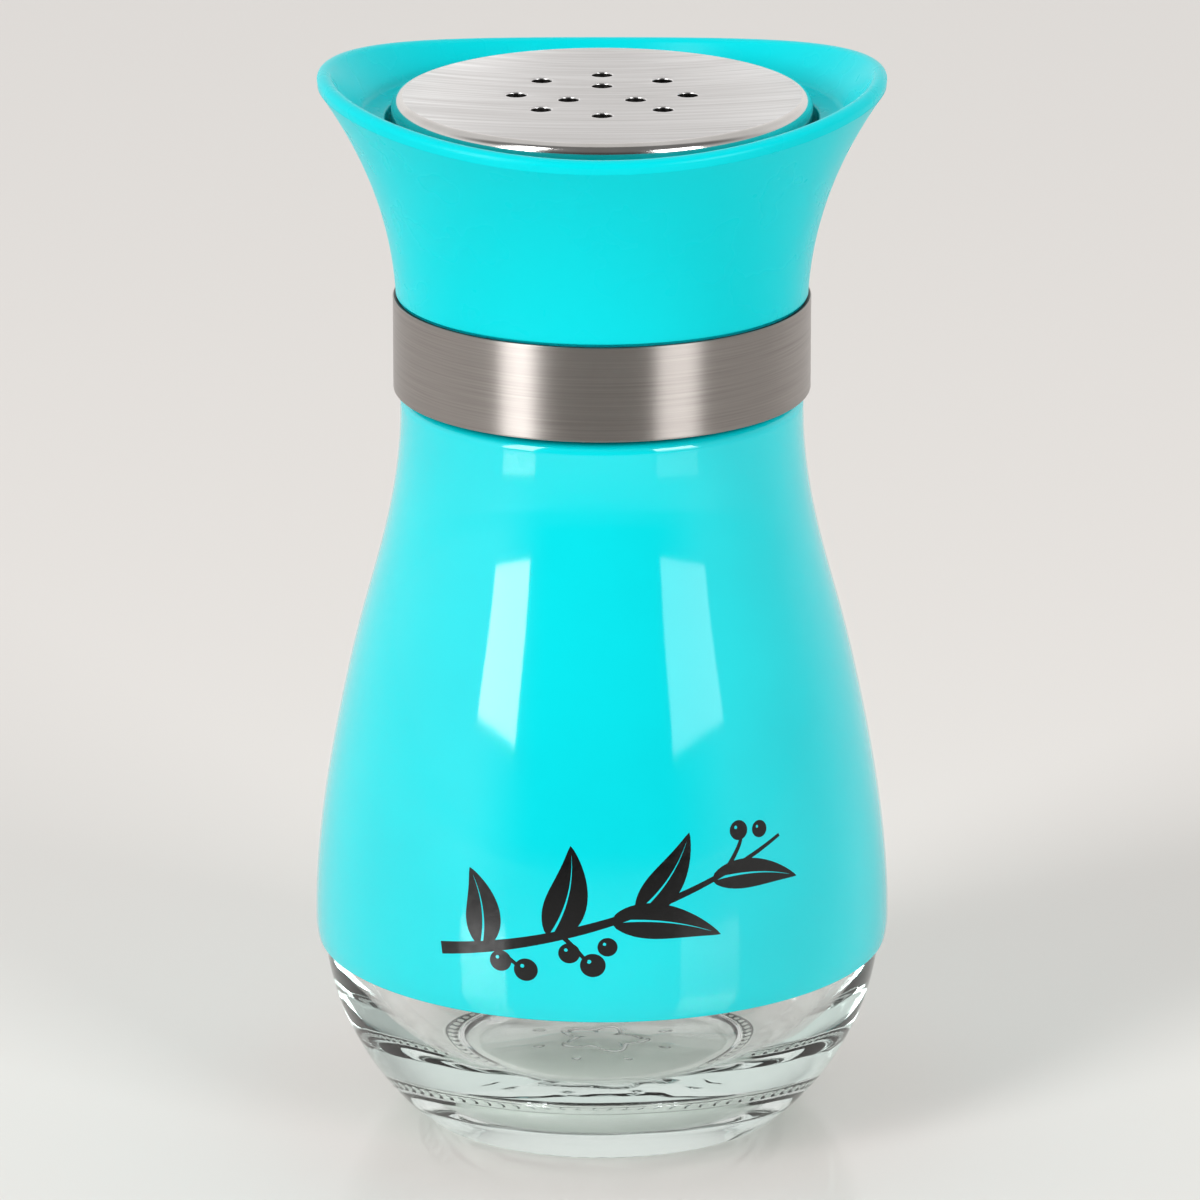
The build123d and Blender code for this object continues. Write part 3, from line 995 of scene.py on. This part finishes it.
@dataclass
class EnamelledSleeve:
    """Thin steel drawn to the jar's side and turned over its shoulder, enamelled outside."""

    flank: Flank
    enamel: FiredEnamel
    lining: RolledSteel
    wall: float = 0.5
    hem_level: float = 21.1
    hem_tuck: float = 0.25
    hem_round: float = 0.2
    lining_level: float = 21.4
    waist_level: float = 86.0
    top_level: float = 88.0
    top_round: float = 1.3
    lip_radius: float = 19.2
    lip_from: float = 80.0  # above this, what faces down is the lip's underside
    steps: int = 320

    def outline(self) -> Section:
        """Draws the closed section of the sleeve."""
        belly, waist = self.flank.belly_radius, self.flank.waist_radius
        hem = (belly - self.hem_tuck, self.hem_level)
        inner_hem = (hem[0] - self.wall, self.hem_level)
        middle = (hem[0] - self.wall / 2, self.hem_level)
        under = self.top_level - self.wall
        outline = Outline(middle)
        outline.line((*hem, self.hem_round))
        outline.add(arc_run((belly, self.flank.belly_level), (0, -1), hem, 7)[::-1])
        outline.add(self.flank.run(0.0, self.waist_level, 76))
        outline.line(
            (waist, self.top_level, self.top_round),
            (self.lip_radius, self.top_level, self.hem_round),
            (self.lip_radius, under, self.hem_round),
            (waist - self.wall, under, self.top_round - self.wall),
            (waist - self.wall, self.waist_level),
        )
        outline.add(self.flank.run(self.wall, self.waist_level, 60)[::-1])
        tuck = arc_run((belly - self.wall, self.flank.belly_level), (0, -1), inner_hem, 7)
        outline.add(tuck, rounded=self.hem_round)
        outline.line(middle)
        return outline.points()[:-1]

    def build(self) -> Piece:
        """Turns the sleeve and gives its inside bare steel."""
        sleeve = turned_piece("sleeve", self.outline(), self.steps)
        dress(sleeve, self.enamel.make(), self.lining.make())

        def inside(centre: np.ndarray, normal: np.ndarray) -> np.ndarray:
            level = centre[:, 2] / MM
            under_lip = (normal[:, 2] < -0.5) & (level > self.lip_from)
            return (outwards(centre, normal) < -1e-4) & (level > self.lining_level) | under_lip

        faces_where(sleeve, inside, 1)
        return sleeve

    def radius_at(self, level: float) -> float:
        """Gives the outer radius of the sleeve at a level between belly and waist."""
        side = self.flank.run(0.0, self.waist_level, 200)
        return float(np.interp(level, side[:, 1], side[:, 0]))


@dataclass
class SprigPrint:
    """A peppercorn sprig in black ink on the front of the sleeve: stem, leaves and berries.

    The drawing's points are distances to the right of the front's middle, and levels.
    """

    STEM = ((-18.6, 28.5), (-1.1, 31.4), (21.9, 41.3))
    # for each leaf: how far up the stem it sits, its tip, its bow and its half width
    LEAVES = (
        (0.16, (-15.5, 38.6), -0.9, 2.3),
        (0.36, (-3.6, 42.2), -1.0, 2.6),
        (0.62, (10.2, 43.3), -0.8, 2.2),
        (0.52, (13.4, 31.0), 0.9, 2.3),
        (0.80, (23.9, 36.0), 0.8, 1.9),
    )
    # for each stalk: the stem's point it leaves, its bend, its end, and its berries with radii
    STALKS = (
        (5, (-10.6, 28.8), (-9.2, 27.6), ((-11.3, 28.1, 1.25), (-8.4, 27.3, 1.35))),
        (11, (-2.6, 30.0), (-1.7, 28.6), ((-3.6, 29.6, 1.2), (-1.0, 28.2, 1.4), (0.6, 30.4, 1.1))),
        (24, (16.8, 41.3), (16.6, 42.1), ((16.4, 42.8, 1.15), (19.2, 42.5, 1.0))),
    )

    sleeve: EnamelledSleeve
    ink: PrintedInk
    wrap_radius: float = 32.0
    sink: float = 0.03
    stem_lift: float = 0.016
    stalk_lift: float = 0.014
    leaf_lift: float = 0.018
    berry_lift: float = 0.02
    line_points: int = 30
    points: list[tuple[float, float, float]] = field(default_factory=list)
    faces: list[tuple[int, ...]] = field(default_factory=list)

    def place(self, across: float, level: float, lift: float) -> tuple[float, float, float]:
        """Wraps a point of the drawing round the sleeve.

        Args:
            across: distance from the middle of the front, to the right.
            level: height above the table.
            lift: height above the sleeve's face.

        Returns:
            The point in metres.
        """
        angle = across / self.wrap_radius
        radius = self.sleeve.radius_at(level) + lift
        return (radius * math.sin(angle) * MM, -radius * math.cos(angle) * MM, level * MM)

    def patch(self, grid: np.ndarray, lift: float) -> None:
        """Adds one patch of ink.

        Args:
            grid: rows of points of the drawing, every row as long.
            lift: height of the ink's face above the sleeve.
        """
        rows, columns = grid.shape[:2]
        start, size = len(self.points), rows * columns
        for height in (lift, -self.sink):
            self.points += [self.place(x, z, height) for x, z in grid.reshape(-1, 2)]
        top = (np.arange(size).reshape(rows, columns) + start).tolist()
        for near, far in zip(top, top[1:]):
            for loop in zip(near, near[1:], far[1:], far):
                self.faces += [loop, tuple(point + size for point in reversed(loop))]
        sides = [row[-1] for row in top[1:-1]], [row[0] for row in top[-2:0:-1]]
        edge = [*top[0], *sides[0], *reversed(top[-1]), *sides[1]]
        for here, there in zip(edge, edge[1:] + edge[:1]):
            self.faces.append((there, here, here + size, there + size))

    def stroke(self, knots: Sequence[Point], widths: Sequence[float], lift: float) -> Section:
        """Draws a tapered stroke through three knots.

        Args:
            knots: start, control point and end.
            widths: half width at the start, in the middle and at the end.
            lift: height of the ink.

        Returns:
            The stroke's middle line.
        """
        line = bezier_run(knots, self.line_points)
        side = sideways(line)
        half = np.interp(np.linspace(0, 1, self.line_points), (0, 0.5, 1), widths)
        across = np.linspace(1, -1, 5)
        grid = line[:, None, :] + side[:, None, :] * half[:, None, None] * across[None, :, None]
        self.patch(grid, lift)
        return line

    def leaf(self, foot: Point, tip: Point, bow: float, width: float) -> None:
        """Draws a pointed leaf in two halves with a bare rib between them.

        Args:
            foot: where the leaf leaves the stem.
            tip: its point.
            bow: how far its rib bends to the left of the line from foot to tip.
            width: its greatest half width.
        """
        start, end = np.array(foot), np.array(tip)
        run = end - start
        normal = np.array([-run[1], run[0]]) / np.hypot(*run)
        rib = bezier_run([foot, tuple((start + end) / 2 + normal * 2 * bow), tip], 26)
        t = np.linspace(0, 1, len(rib))
        half = width * np.sin(math.pi * t**0.75) ** 0.8 * (1 - 0.25 * t) + 0.02
        bare = np.clip(0.17 * (1 - t), 0.0, None) * (t < 0.92)
        near = np.minimum(bare, half * 0.6)
        reach = near[:, None] + (half - near)[:, None] * np.linspace(0, 1, 5)
        for way in (1, -1):
            grid = rib[:, None, :] + way * sideways(rib)[:, None, :] * reach[:, :, None]
            self.patch(grid[:, ::-1] if way > 0 else grid, self.leaf_lift)

    def berry(self, centre: Point, radius: float) -> None:
        """Draws a round peppercorn with a small bare glint."""
        middle = np.array(centre)
        angles = np.linspace(0.9, 0.9 + 2 * math.pi, 33)
        rim = np.column_stack([np.cos(angles), np.sin(angles)])
        glint = middle + radius * np.array([-0.3, 0.32]) + rim * radius * 0.17
        grid = np.stack([middle + rim * radius, (middle + rim * radius + glint) / 2, glint], axis=1)
        self.patch(grid, self.berry_lift)

    def build(self) -> Piece:
        """Draws the sprig and makes it one piece."""
        stem = self.stroke(self.STEM, (0.75, 0.5, 0.2), self.stem_lift)
        for share, tip, bow, width in self.LEAVES:
            foot = stem[int(share * (self.line_points - 1))]
            self.leaf(tuple(foot), tip, bow, width)
        for foot, bend, end, berries in self.STALKS:
            self.stroke((tuple(stem[foot]), bend, end), (0.28, 0.24, 0.2), self.stalk_lift)
            for x, z, radius in berries:
                self.berry((x, z), radius)
        piece = new_piece("sprig_print", self.points, self.faces)
        return dress(piece, self.ink.make())


# --- the cap ---


@dataclass
class FlaredCollar:
    """Moulded collar: a skirt under the band, a hollow flare, a ledge and a saddle rim."""

    finish: MouldedPlastic
    wall: float = 2.4
    foot: Point = (24.2, 100.1)
    control: Point = (25.0, 114.4)
    top: Point = (34.8, 127.4)
    skirt_radius: float = 23.95
    groove_depth: float = 0.9
    groove_height: float = 0.5
    low_level: float = 89.05
    ear_level: float = 126.6
    saddle_radius: float = 144.0
    ledge_level: float = 121.2
    ledge_thickness: float = 2.0
    ledge_radius: float = 25.3
    ledge_fillet: float = 0.8
    deck_level: float = 103.0
    bore_radius: float = 21.05
    notch_count: int = 4
    notch_width: float = 3.2
    notch_reach: float = 1.0
    notch_circle: float = 21.75
    skirt_round: float = 0.2
    foot_round: float = 0.08
    lip_round: float = 0.25
    rim_slope: float = 0.11  # at left and right, where the saddle falls fastest
    crease_gap: float = 0.04
    seam: float = 1.2  # distance from the bore at which the outline starts and ends
    flare_points: int = 241
    flare_rows: int = 45
    bowl_rows: int = 11
    hollow_rows: int = 16
    steps: int = 384

    def flare(self, inset: float) -> Section:
        """Draws the flare, moved towards the axis by inset."""
        corners = [(r - inset, z) for r, z in (self.foot, self.control, self.top)]
        return bezier_run(corners, self.flare_points)

    def rim_level(self, radius: float, angle: float) -> float:
        """Gives the level of the saddle above a point at a radius and an angle."""
        depth = radius * math.sin(angle)
        return self.ear_level - self.saddle_radius + math.sqrt(self.saddle_radius**2 - depth**2)

    def rim_run(self, angle: float) -> tuple[float, Section]:
        """Rounds the top of the wall at an angle.

        Returns:
            How far up the flare the round begins, from 0 to 1, and the round's points from the
            outside to the inside.
        """
        outer, inner = self.flare(0.0), self.flare(self.wall)
        middle = (outer + inner) / 2
        along = np.gradient(middle, axis=0)
        along /= np.hypot(*along.T)[:, None]
        half = self.wall / 2 * along[:, 1]
        crown = middle[:, 1] + half * np.hypot(self.rim_slope * abs(math.sin(angle)), 1)
        level = np.array([self.rim_level(r, angle) for r in middle[:, 0]])
        share = float(np.interp(0.0, crown - level, np.linspace(0, 1, len(middle))))
        at = share * (len(middle) - 1)
        index = np.arange(len(middle))
        centre, way = read_off(middle, index, at), read_off(along, index, at)
        radius = float(np.interp(at, index, half))
        outwards = np.array([way[1], -way[0]])
        across, up = self.rim_profile().T[:, :, None]
        return share, centre + radius * (across * outwards + up * way)

    @staticmethod
    def rim_profile() -> Section:
        """Draws the rim in half thicknesses: a crisp crease, a bevel, then a full round inwards."""
        bevel = (0.68, 0.62)
        edge = [(1.0, 0.0), (0.985, 0.03), (0.85, 0.29), bevel]
        crown = bezier_run((bevel, (0.56, 0.85), (0.33, 1.0), (0.0, 1.0)), 6)[1:]
        sweep = np.linspace(math.pi / 2, math.pi, 9)[1:]
        return np.vstack([edge, crown, np.column_stack([np.cos(sweep), np.sin(sweep)])])

    def section(self, angle: float) -> Section:
        """Draws the closed section at an angle."""
        share, rim = self.rim_run(angle)
        spread = np.linspace(0, 1, self.flare_rows + 1)[:-1] * share
        grid = np.linspace(0, 1, self.flare_points)
        inner = self.flare(self.wall)
        out = read_off(self.flare(0.0), grid, spread)
        levels = (self.ledge_level, self.ledge_level - self.ledge_thickness, self.deck_level)
        ledge, under, deck = np.interp(levels, inner[:, 1], grid)
        bowl = read_off(inner, grid, np.linspace(share, ledge, self.bowl_rows + 1)[1:])
        hollow = read_off(inner, grid, np.linspace(under, deck, self.hollow_rows))
        start = (self.bore_radius + self.seam, self.low_level)
        groove_radius = self.skirt_radius - self.groove_depth
        groove_level = self.foot[1] - self.groove_height
        outline = Outline(start)
        outline.line(
            (self.skirt_radius, self.low_level, self.skirt_round),
            (self.skirt_radius, groove_level),
            (groove_radius, groove_level),
            (groove_radius, self.foot[1]),
            (*self.foot, self.foot_round),
        )
        # a row close under the crease keeps it crisp
        rise = rim[0] - out[-1]
        brow = rim[0] - rise / np.hypot(*rise) * self.crease_gap
        outline.add(np.vstack([out, brow, rim[:1]]))
        outline.add(rim)
        outline.add(np.vstack([rim[-1:], bowl]), rounded=self.ledge_fillet)
        outline.line(
            (self.ledge_radius, self.ledge_level, self.lip_round),
            (self.ledge_radius, self.ledge_level - self.ledge_thickness),
            tuple(hollow[0]),
        )
        outline.add(hollow)
        outline.line(
            (self.bore_radius, self.deck_level),
            (self.bore_radius, self.low_level, self.skirt_round),
            start,
        )
        return outline.points(corner_steps=5)[:-1]

    def build(self) -> Piece:
        """Moulds the collar and cuts the notches for the core's lugs."""
        collar = turned_piece("collar", self.section, self.steps)
        reach, half = self.notch_reach * MM, self.notch_width / 2 * MM
        # a hair lower than deck and ledge, so that no two faces lie on each other
        top = self.ledge_level - self.ledge_thickness
        low, high = (self.deck_level - 0.01) * MM, (top - 0.01) * MM
        corners = [(x, y, z) for x in (-reach, reach) for y in (-half, half) for z in (low, high)]
        faces = [(0, 1, 3, 2), (4, 6, 7, 5), (0, 4, 5, 1), (2, 3, 7, 6), (0, 2, 6, 4), (1, 5, 7, 3)]
        cutter = new_piece("notch_cutter", corners, faces)
        ring_cut_tree().shape(
            collar,
            self.finish.make(),
            Count=self.notch_count,
            Circle=self.notch_circle * MM,
            Start=0.0,
            Cutter=cutter,
        )
        bpy.data.objects.remove(cutter)
        return collar


@dataclass
class SteelBand:
    """Brushed tube round the collar's skirt, turned in under it."""

    finish: BrushedSteel
    # dark bare steel for the faces that do not face out; its darkness is painted shade
    back: RolledSteel
    radius: float = 24.55
    wall: float = 0.55
    low_level: float = 88.5
    height: float = 11.3
    lip: float = 2.0
    bend: float = 0.3
    edge: float = 0.12
    seam: float = 1.2  # distance from the outside at which the outline starts and ends
    steps: int = 320

    def build(self) -> Piece:
        """Turns the band; its inside, its top and its underside get dark bare steel, painted shade
        for the gaps at its edges.
        """
        inside, shelf = self.radius - self.wall, self.low_level + self.wall
        top = self.low_level + self.height
        start = (self.radius - self.seam, self.low_level)
        outline = Outline(start)
        outline.line(
            (self.radius, self.low_level, self.bend),
            (self.radius, top, self.edge),
            (inside, top, self.edge),
            (inside, shelf),
            (self.radius - self.lip, shelf, self.edge),
            (self.radius - self.lip, self.low_level, self.edge),
            start,
        )
        band = turned_piece("band", outline.points()[:-1], self.steps)
        dress(band, self.finish.make(), self.back.make())

        # the inside, the top and the underside: their dark steel paints shade into the gaps round
        # the band
        def shaded_faces(centre: np.ndarray, normal: np.ndarray) -> np.ndarray:
            return outwards(centre, normal) < 1e-4

        faces_where(band, shaded_faces, 1)
        return band


@dataclass
class PouringPlate:
    """Drawn steel cup, face up, with two rings of punched holes."""

    finish: BrushedSteel
    edge: RolledSteel
    # steel for the sheared hole walls and the underside, made near-black as painted shade in the
    # holes
    sheared_shade: RolledSteel
    radius: float = 24.6
    level: float = 123.7
    thickness: float = 0.8
    edge_round: float = 1.3
    skirt_depth: float = 5.2
    hem_round: float = 0.2
    face_rows: tuple[float, ...] = (0, 2, 7, 13, 20)
    hole_radius: float = 1.2
    hole_roll: float = 0.22
    punch_reach: float = 0.5
    outer_ring: tuple[int, float] = (8, 10.0)
    inner_ring: tuple[int, float] = (3, 4.5)
    steps: int = 256

    def outline(self) -> Section:
        """Draws the section from pole to pole, with rows across its flat faces."""
        under = self.level - self.thickness
        low = self.level - self.skirt_depth
        inner = self.radius - self.thickness
        face = [(radius, self.level) for radius in (*self.face_rows, self.radius)]
        back = [(radius, under) for radius in (inner, *reversed(self.face_rows))]
        outline = Outline((0.0, self.level))
        outline.add(face, rounded=self.edge_round)
        outline.line(
            (self.radius, low, self.hem_round),
            (inner, low, self.hem_round),
            (inner, under, self.edge_round - self.thickness),
        )
        outline.add(back)
        return outline.points(corner_steps=9)

    def punch(self) -> Piece:
        """Makes the punch: a pin that widens where it draws the face in."""
        low = self.level - self.thickness - self.punch_reach
        high = self.level + self.punch_reach
        rim = self.hole_radius + self.hole_roll
        outline = Outline((0.0, low))
        outline.line((self.hole_radius, low), (self.hole_radius, self.level - self.hole_roll))
        outline.arc((0, 1), (rim, self.level), 6)
        outline.line((rim + 0.02, high), (0.0, high))
        return turned_piece("punch", outline.points(support=9.0), 40)

    def build(self) -> Piece:
        """Draws the cup and punches its holes."""
        plate = turned_piece("plate", self.outline(), self.steps)
        punch, steel, cut = self.punch(), self.finish.make(), ring_cut_tree()
        for (count, circle), start in ((self.outer_ring, 0.0), (self.inner_ring, math.pi / 2)):
            cut.shape(plate, steel, Count=count, Circle=circle * MM, Start=start, Cutter=punch)
        bpy.data.objects.remove(punch)
        dress(plate, steel, self.edge.make(), self.sheared_shade.make())
        flat = (self.radius - self.edge_round) * MM

        def drawn(centre: np.ndarray, normal: np.ndarray) -> np.ndarray:
            return np.hypot(*centre[:, :2].T) > flat

        # hole walls and underside: their near-black steel paints the shade inside the holes
        def sheared_and_shaded(centre: np.ndarray, normal: np.ndarray) -> np.ndarray:
            return (np.hypot(*centre[:, :2].T) < flat) & (normal[:, 2] < 0.35)

        faces_where(plate, drawn, 1)
        faces_where(plate, sheared_and_shaded, 2)
        return plate


@dataclass
class CoreThread:
    """Screw thread on the wall of the core's bore."""

    finish: MouldedPlastic
    bore_radius: float = 19.0
    start_turn: float = 0.62
    sink: float = 0.05
    thread: ScrewThread = ScrewThread(93.3, reach=1.1, crest=0.35, lead=0.06)
    steps: int = 150

    def build(self) -> Piece:
        """Sweeps the rib."""
        return spiral_tree().shape(
            new_piece("core_thread", [], []),
            self.finish.make(),
            Steps=self.steps,
            Radius=(self.bore_radius - self.thread.reach / 2 + self.sink) * MM,
            Angle=self.start_turn * 2 * math.pi,
            **self.thread.sizes,
        )


# --- the studio ---


@dataclass
class Softbox:
    """A soft light panel that faces the shaker."""

    name: str
    azimuth: float
    elevation: tuple[float, float]
    width: float
    radiance: float
    distance: float = 1.2
    aim: float = 0.06

    def build(self) -> None:
        """Hangs the panel; azimuth is counted from the front, to the right."""
        low, high = (self.distance * math.tan(math.radians(e)) for e in self.elevation)
        light = bpy.data.lights.new(self.name, "AREA")
        light.shape = "RECTANGLE"
        light.size, light.size_y = self.width, high - low
        light.energy = self.radiance * math.pi * light.size * light.size_y
        panel = bpy.data.objects.new(self.name, light)
        turn = math.radians(self.azimuth)
        middle = (low + high) / 2 + self.aim
        panel.location = (self.distance * math.sin(turn), -self.distance * math.cos(turn), middle)
        panel.rotation_euler = (math.pi / 2, 0, turn)
        bpy.context.scene.collection.objects.link(panel)


@dataclass
class Studio:
    """Floor, surroundings, lights and camera."""

    floor: CounterTop
    counter_width: float = 8.0
    eye: tuple[float, float, float] = (0.0, -1.0, 0.36793)
    pitch: float = 17.004
    lens: float = 264.6
    shift: float = -0.00167
    front: float = 0.08
    left: float = 0.97
    right: float = 0.6
    back: float = 0.98
    over_front: float = 0.2
    over_back: float = 0.75
    tone: str = "#FFFDFB"

    def surroundings(self) -> None:
        """Makes the room: dark behind the camera, bright at both sides and behind the shaker."""
        world = bpy.data.worlds.new("room")
        world.use_nodes = True
        room = Nodes(world.node_tree)
        way = room.put("ShaderNodeTexCoord").outputs["Generated"]
        height = room.put("ShaderNodeSeparateXYZ", {0: way}).outputs[2]
        heading = room.vector("NORMALIZE", room.flat(way))
        across, along, _ = room.put("ShaderNodeSeparateXYZ", {0: heading}).outputs
        sides = room.ease(across, -0.05, 0.05, self.left, self.right)
        near = room.ease(along, -0.9, -0.5, self.front, sides)
        low = room.ease(along, 0.1, 0.7, near, self.back)
        high = room.ease(along, -0.2, 0.4, self.over_front, self.over_back)
        level = room.ease(height, 0.3, 0.7, low, high)
        light = {"Color": linear(self.tone), "Strength": level}
        room.put("ShaderNodeOutputWorld", {"Surface": room.get("ShaderNodeBackground", light)})
        bpy.context.scene.world = world

    def build(self) -> None:
        """Sets the whole studio up."""
        half = self.counter_width / 2
        corners = [(-half, -half, 0), (half, -half, 0), (half, half, 0), (-half, half, 0)]
        counter = new_piece("counter", corners, [(0, 1, 2, 3)])
        dress(counter, self.floor.make())
        self.surroundings()
        for light in (
            Softbox("window_left", -47.5, (5.0, 56.0), 0.40, 8.5),
            Softbox("window_right", 43.0, (5.0, 16.0), 0.52, 2.6),
            Softbox("lamp_right", 43.0, (16.0, 36.0), 0.52, 9.5),
        ):
            light.build()
        camera = bpy.data.objects.new("camera", bpy.data.cameras.new("camera"))
        camera.location = self.eye
        camera.rotation_euler = (math.radians(90 - self.pitch), 0, 0)
        camera.data.lens, camera.data.sensor_width = self.lens, 36.0
        camera.data.shift_x = self.shift
        camera.data.clip_end = 50.0
        bpy.context.scene.collection.objects.link(camera)
        scene = bpy.context.scene
        scene.camera = camera
        scene.view_settings.view_transform = "Standard"
        # light crosses the thick base many times before it leaves
        scene.cycles.max_bounces = scene.cycles.transmission_bounces = 32
        scene.cycles.glossy_bounces = 12


# --- assembly ---


def place(piece: Piece, body: str, slot: str, *nodes: str) -> None:
    """Lets a piece ride on a body and stand for CAD nodes, which it hides."""
    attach(piece, body)
    if nodes:
        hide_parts(*nodes)
    log.info("%s rides on %s: %d faces", piece.name, body, len(piece.data.polygons))


def refinish(node: str, finish: Finish) -> None:
    """Gives a CAD node whose shape is kept a better material."""
    dress(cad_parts[node], finish.make())
    log.info("%s keeps its shape, in %s", node, finish.name)


def build_base() -> None:
    """Builds the jar, the sleeve and what lies between them."""
    flank = Flank()
    enamel = FiredEnamel("fired_enamel", "#00DCE4", 0.06)
    sleeve = EnamelledSleeve(flank, enamel, RolledSteel("rolled_steel", "#D5D8D8", 0.45))
    glass = PressedGlass("soda_lime_glass", "#FFFFFF", 0.0, 1.52)
    ink = PrintedInk("fired_black_ink", "#08090A", 0.15)
    place(GlassJar(flank, glass).build(), "base", "clear_glass", "glass_jar")
    place(sleeve.build(), "base", "turquoise_enamel", "body_sleeve")
    place(SprigPrint(sleeve, ink).build(), "base", "turquoise_enamel")
    refinish("shoulder_gasket", SoftSeal("nitrile_rubber", "#1B1B1C", 0.55, pore=0.2))
    refinish("bond_bead", SoftSeal("silicone_bead", "#EDEFEF", 0.3, 1.41, pore=0.8, clear=0.8))


def build_cap() -> None:
    """Builds the collar, the band, the plate, and the core with its thread and its seal."""
    turquoise = MouldedPlastic("moulded_abs", "#00D6DE", 0.28, texture=6.0, depth=0.0, specular=0.1)
    white = MouldedPlastic("moulded_polypropylene", "#E9E9E4", 0.42, 1.49, texture=0.6)
    ring = BrushedSteel("ring_brushed_steel", "#AFA9A5", 0.4)
    # darkened bare steel: painted shade on the band's inside, top and underside
    dull = RolledSteel("dull_steel", "#5E5B59", 0.5, worn="#4C4A49")
    # the same stainless steel as the band's, made paler: painted light on the plate's face
    disc = BrushedSteel("disc_brushed_steel", "#F1F0F0", 0.36, 1.5, "#D6D4D3", Brushing.DISC, 0.85)
    drawn = RolledSteel("drawn_bright_steel", "#DCDAD8", 0.13, worn="#CFCCC9")
    # sheared steel made near-black: painted shade in the holes and under the plate
    sheared_shade = RolledSteel("sheared_steel", "#3A3837", 0.4, worn="#2C2B2A")
    place(FlaredCollar(turquoise).build(), "cap", "turquoise_plastic", "flared_collar")
    place(SteelBand(ring, dull).build(), "cap", "brushed_steel", "neck_band")
    place(PouringPlate(disc, drawn, sheared_shade).build(), "cap", "brushed_steel", "shaker_plate")
    place(CoreThread(white).build(), "cap", "white_plastic")
    refinish("cap_core", white)
    refinish("cap_liner", SoftSeal("foamed_polyethylene", "#E2E0D8", 0.7))


def main() -> None:
    """Builds the shaker and its studio."""
    logging.basicConfig(level=logging.INFO)
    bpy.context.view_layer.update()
    build_base()
    build_cap()
    Studio(CounterTop("polished_counter", "#E9E5E1", 0.12)).build()


if __name__ == "__main__":
    main()
